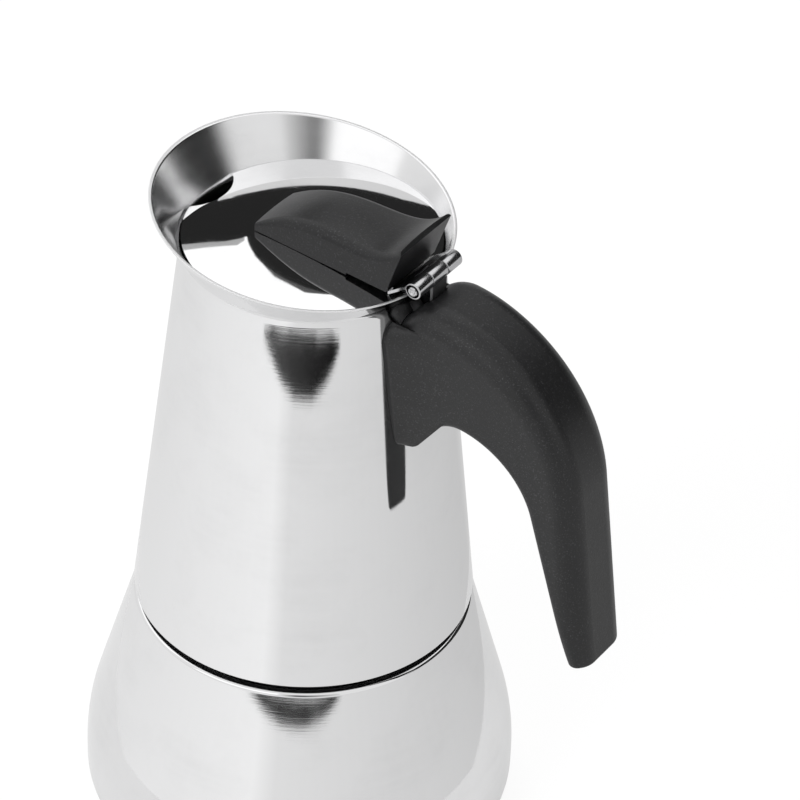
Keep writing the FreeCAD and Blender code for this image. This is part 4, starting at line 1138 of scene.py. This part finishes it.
class MOKA_OT_stage(MokaOperator, Operator):
    """Set up the floor, the lamps, the cards and the camera"""

    bl_idname = "moka.stage"
    bl_label = "Stage"

    def execute(self, context):
        self.floor()
        self.world()
        self.cards()
        self.lamps()
        self.camera()
        context.scene.view_settings.view_transform = "Standard"
        return {"FINISHED"}

    def floor(self):
        stage = self.pot.stage
        material, tree, shader = blank("floor_white")
        shader.inputs["Base Color"].default_value = (*stage.floor, 1.0)
        shader.inputs["Roughness"].default_value = 0.9
        shader.inputs["Specular IOR Level"].default_value = 0.0
        path, in_metal = metal_rays(tree)
        plain = math_node(tree, "MULTIPLY", path["Is Camera Ray"], FLOOR_GLOW_SHARE)
        mirrored = math_node(tree, "MULTIPLY", in_metal, FLOOR_GLOW_SHARE_IN_METAL)
        share = math_node(tree, "MAXIMUM", plain, mirrored)
        glow = tree.nodes.new("ShaderNodeEmission")
        level = spread(tree, in_metal, low=0.0, high=1.0, to_low=FLOOR_GLOW, to_high=stage.floor_in_metal)
        tree.links.new(level, glow.inputs["Strength"])
        mix = tree.nodes.new("ShaderNodeMixShader")
        tree.links.new(share, mix.inputs["Fac"])
        tree.links.new(shader.outputs[0], mix.inputs[1])
        tree.links.new(glow.outputs[0], mix.inputs[2])
        tree.links.new(mix.outputs[0], tree.nodes["Material Output"].inputs["Surface"])
        builder = bmesh.new()
        bmesh.ops.create_circle(builder, cap_ends=True, segments=FLOOR_AROUND, radius=FLOOR_RADIUS)
        on_stage("floor", builder, material)

    def world(self):
        stage = self.pot.stage
        world = bpy.data.worlds.new("studio")
        bpy.context.scene.world = world
        world.use_nodes = True
        tree = world.node_tree
        sky = tree.nodes["Background"]
        sky.inputs["Color"].default_value = (1.0, 1.0, 1.0, 1.0)
        path, in_metal = metal_rays(tree)
        seen = spread(tree, path["Is Camera Ray"], low=0.0, high=1.0, to_low=stage.ambient, to_high=1.0)
        mirrored = math_node(tree, "MULTIPLY", in_metal, stage.room_in_metal)
        strength = math_node(tree, "MAXIMUM", seen, mirrored)
        tree.links.new(strength, sky.inputs["Strength"])

    def cards(self):
        """Softboxes, a dark room behind the sweep, and what lies in front of the pot.

        A card's low edge and skyline are in degrees, azimuth before elevation.
        """
        for name, low, skyline, distance, tone, last_tone in (
            ("overhead_softbox", 30, ((150, 80), (300, 80)), OVERHEAD_DISTANCE, SOFTBOX, SOFTBOX),
            ("front_softbox", 13, ((-34, 42), (21, 42)), ROOM_DISTANCE, SOFTBOX, SOFTBOX),
            ("camera_stand_left", 2, ((22, 33), (32, 33)), STAND_DISTANCE, 0.9, STAND),
            ("camera_stand", 2, ((32, 33), (37, 33)), STAND_DISTANCE, STAND, STAND),
            ("camera_stand_right", 2, ((37, 33), (58, 33)), STAND_DISTANCE, STAND, 0.7),
            ("dark_room_edge", 3, ((98, 36), (110, 40)), ROOM_DISTANCE, 0.8, DARK),
            ("dark_room_right", 3, ((110, 40), (150, 42)), ROOM_DISTANCE, DARK, DARK),
            ("dark_room_back", 3, ((150, 43), (195, 44)), ROOM_DISTANCE, DARK, DARK),
            ("dark_room_corner", 29, BROW_START + brow(), ROOM_DISTANCE, DARK, DARK),
            ("dark_room_left", 14, LEFT_SKYLINE, ROOM_DISTANCE, DARK, DARK),
            ("dark_room_haze", 29, HAZE_SKYLINE, HAZE_DISTANCE, 0.09, 0.09),
            ("dark_room_left_haze", 29, LEFT_HAZE_SKYLINE, HAZE_DISTANCE, 0.45, 0.45),
            ("room_low", 3, (DIP_START,) + dip(), LOW_DISTANCE, 0.72, 0.72),
        ):
            screen(name, low, skyline, distance, tone, last_tone)
        # Painted light and shade of the floor as metal shows it: brighter in front near the front lamp,
        # darker on the handle's side and behind.
        for name, first, last, tone, last_tone in (
            ("painted_floor_light_front", -125, 13, 0.78, 0.98),
            ("painted_floor_light_edge", 13, 24, 0.98, 0.83),
            ("painted_floor_shade_side", 24, 170, 0.83, 0.6),
            ("painted_floor_shade_back", 170, 235, 0.6, 0.78),
        ):
            arcs = [(first, last, radius) for radius in SHEET_RADII]
            floor_sheet(name, arcs, SHEET_HEIGHT, tone, last_tone)
        floor_sheet("dark_stand", STAND_ARCS, STAND_HEIGHT, tone=0.06, last_tone=0.0)

    def lamps(self):
        stage = self.pot.stage
        front = bearing(azimuth=-8, elevation=32, distance=LAMP_DISTANCE)
        overhead = bearing(azimuth=220, elevation=62, distance=LAMP_DISTANCE)
        lamp("front_lamp", front, width=0.8, height=0.7, power=stage.key)
        lamp("overhead_lamp", overhead, width=0.9, height=0.9, power=stage.fill)

    def camera(self):
        data = bpy.data.cameras.new("camera")
        data.lens = CAMERA_LENS
        data.sensor_width = SENSOR
        made = bpy.data.objects.new("camera", data)
        back = CAMERA_RIGHT.cross(CAMERA_UP)
        turn = Matrix((CAMERA_RIGHT, CAMERA_UP, back)).transposed().to_4x4()
        made.matrix_world = Matrix.Translation(CAMERA_PLACE) @ turn
        bpy.context.scene.collection.objects.link(made)
        bpy.context.scene.camera = made


OPERATORS = (
    MOKA_OT_effects,
    MOKA_OT_jug,
    MOKA_OT_boiler,
    MOKA_OT_inside,
    MOKA_OT_valve,
    MOKA_OT_lid,
    MOKA_OT_hinge,
    MOKA_OT_grips,
    MOKA_OT_stage,
)


class MOKA_PT_panel(Panel):
    """Lists the pot's operators and its settings"""

    bl_label = "Moka Pot"
    bl_space_type = "VIEW_3D"
    bl_region_type = "UI"
    bl_category = "Moka Pot"

    def draw(self, context):
        for operator in OPERATORS:
            self.layout.operator(operator.bl_idname)
        for group in context.scene.moka_pot.bl_rna.properties.keys():
            settings = getattr(context.scene.moka_pot, group, None)
            if not isinstance(settings, PropertyGroup):
                continue
            for name in settings.__annotations__:
                self.layout.prop(settings, name)


GROUPS = (MokaSteel, MokaPlastic, MokaSmallParts, MokaShape, MokaHinge, MokaStage, MokaPot)
CLASSES = (*GROUPS, *OPERATORS, MOKA_PT_panel)


def register():
    for item in CLASSES:
        bpy.utils.register_class(item)
    bpy.types.Scene.moka_pot = PointerProperty(type=MokaPot)


def unregister():
    del bpy.types.Scene.moka_pot
    for item in reversed(CLASSES):
        bpy.utils.unregister_class(item)


def main():
    register()
    for operator in OPERATORS:
        family, action = operator.bl_idname.split(".")
        getattr(getattr(bpy.ops, family), action)()


if __name__ == "__main__":
    main()
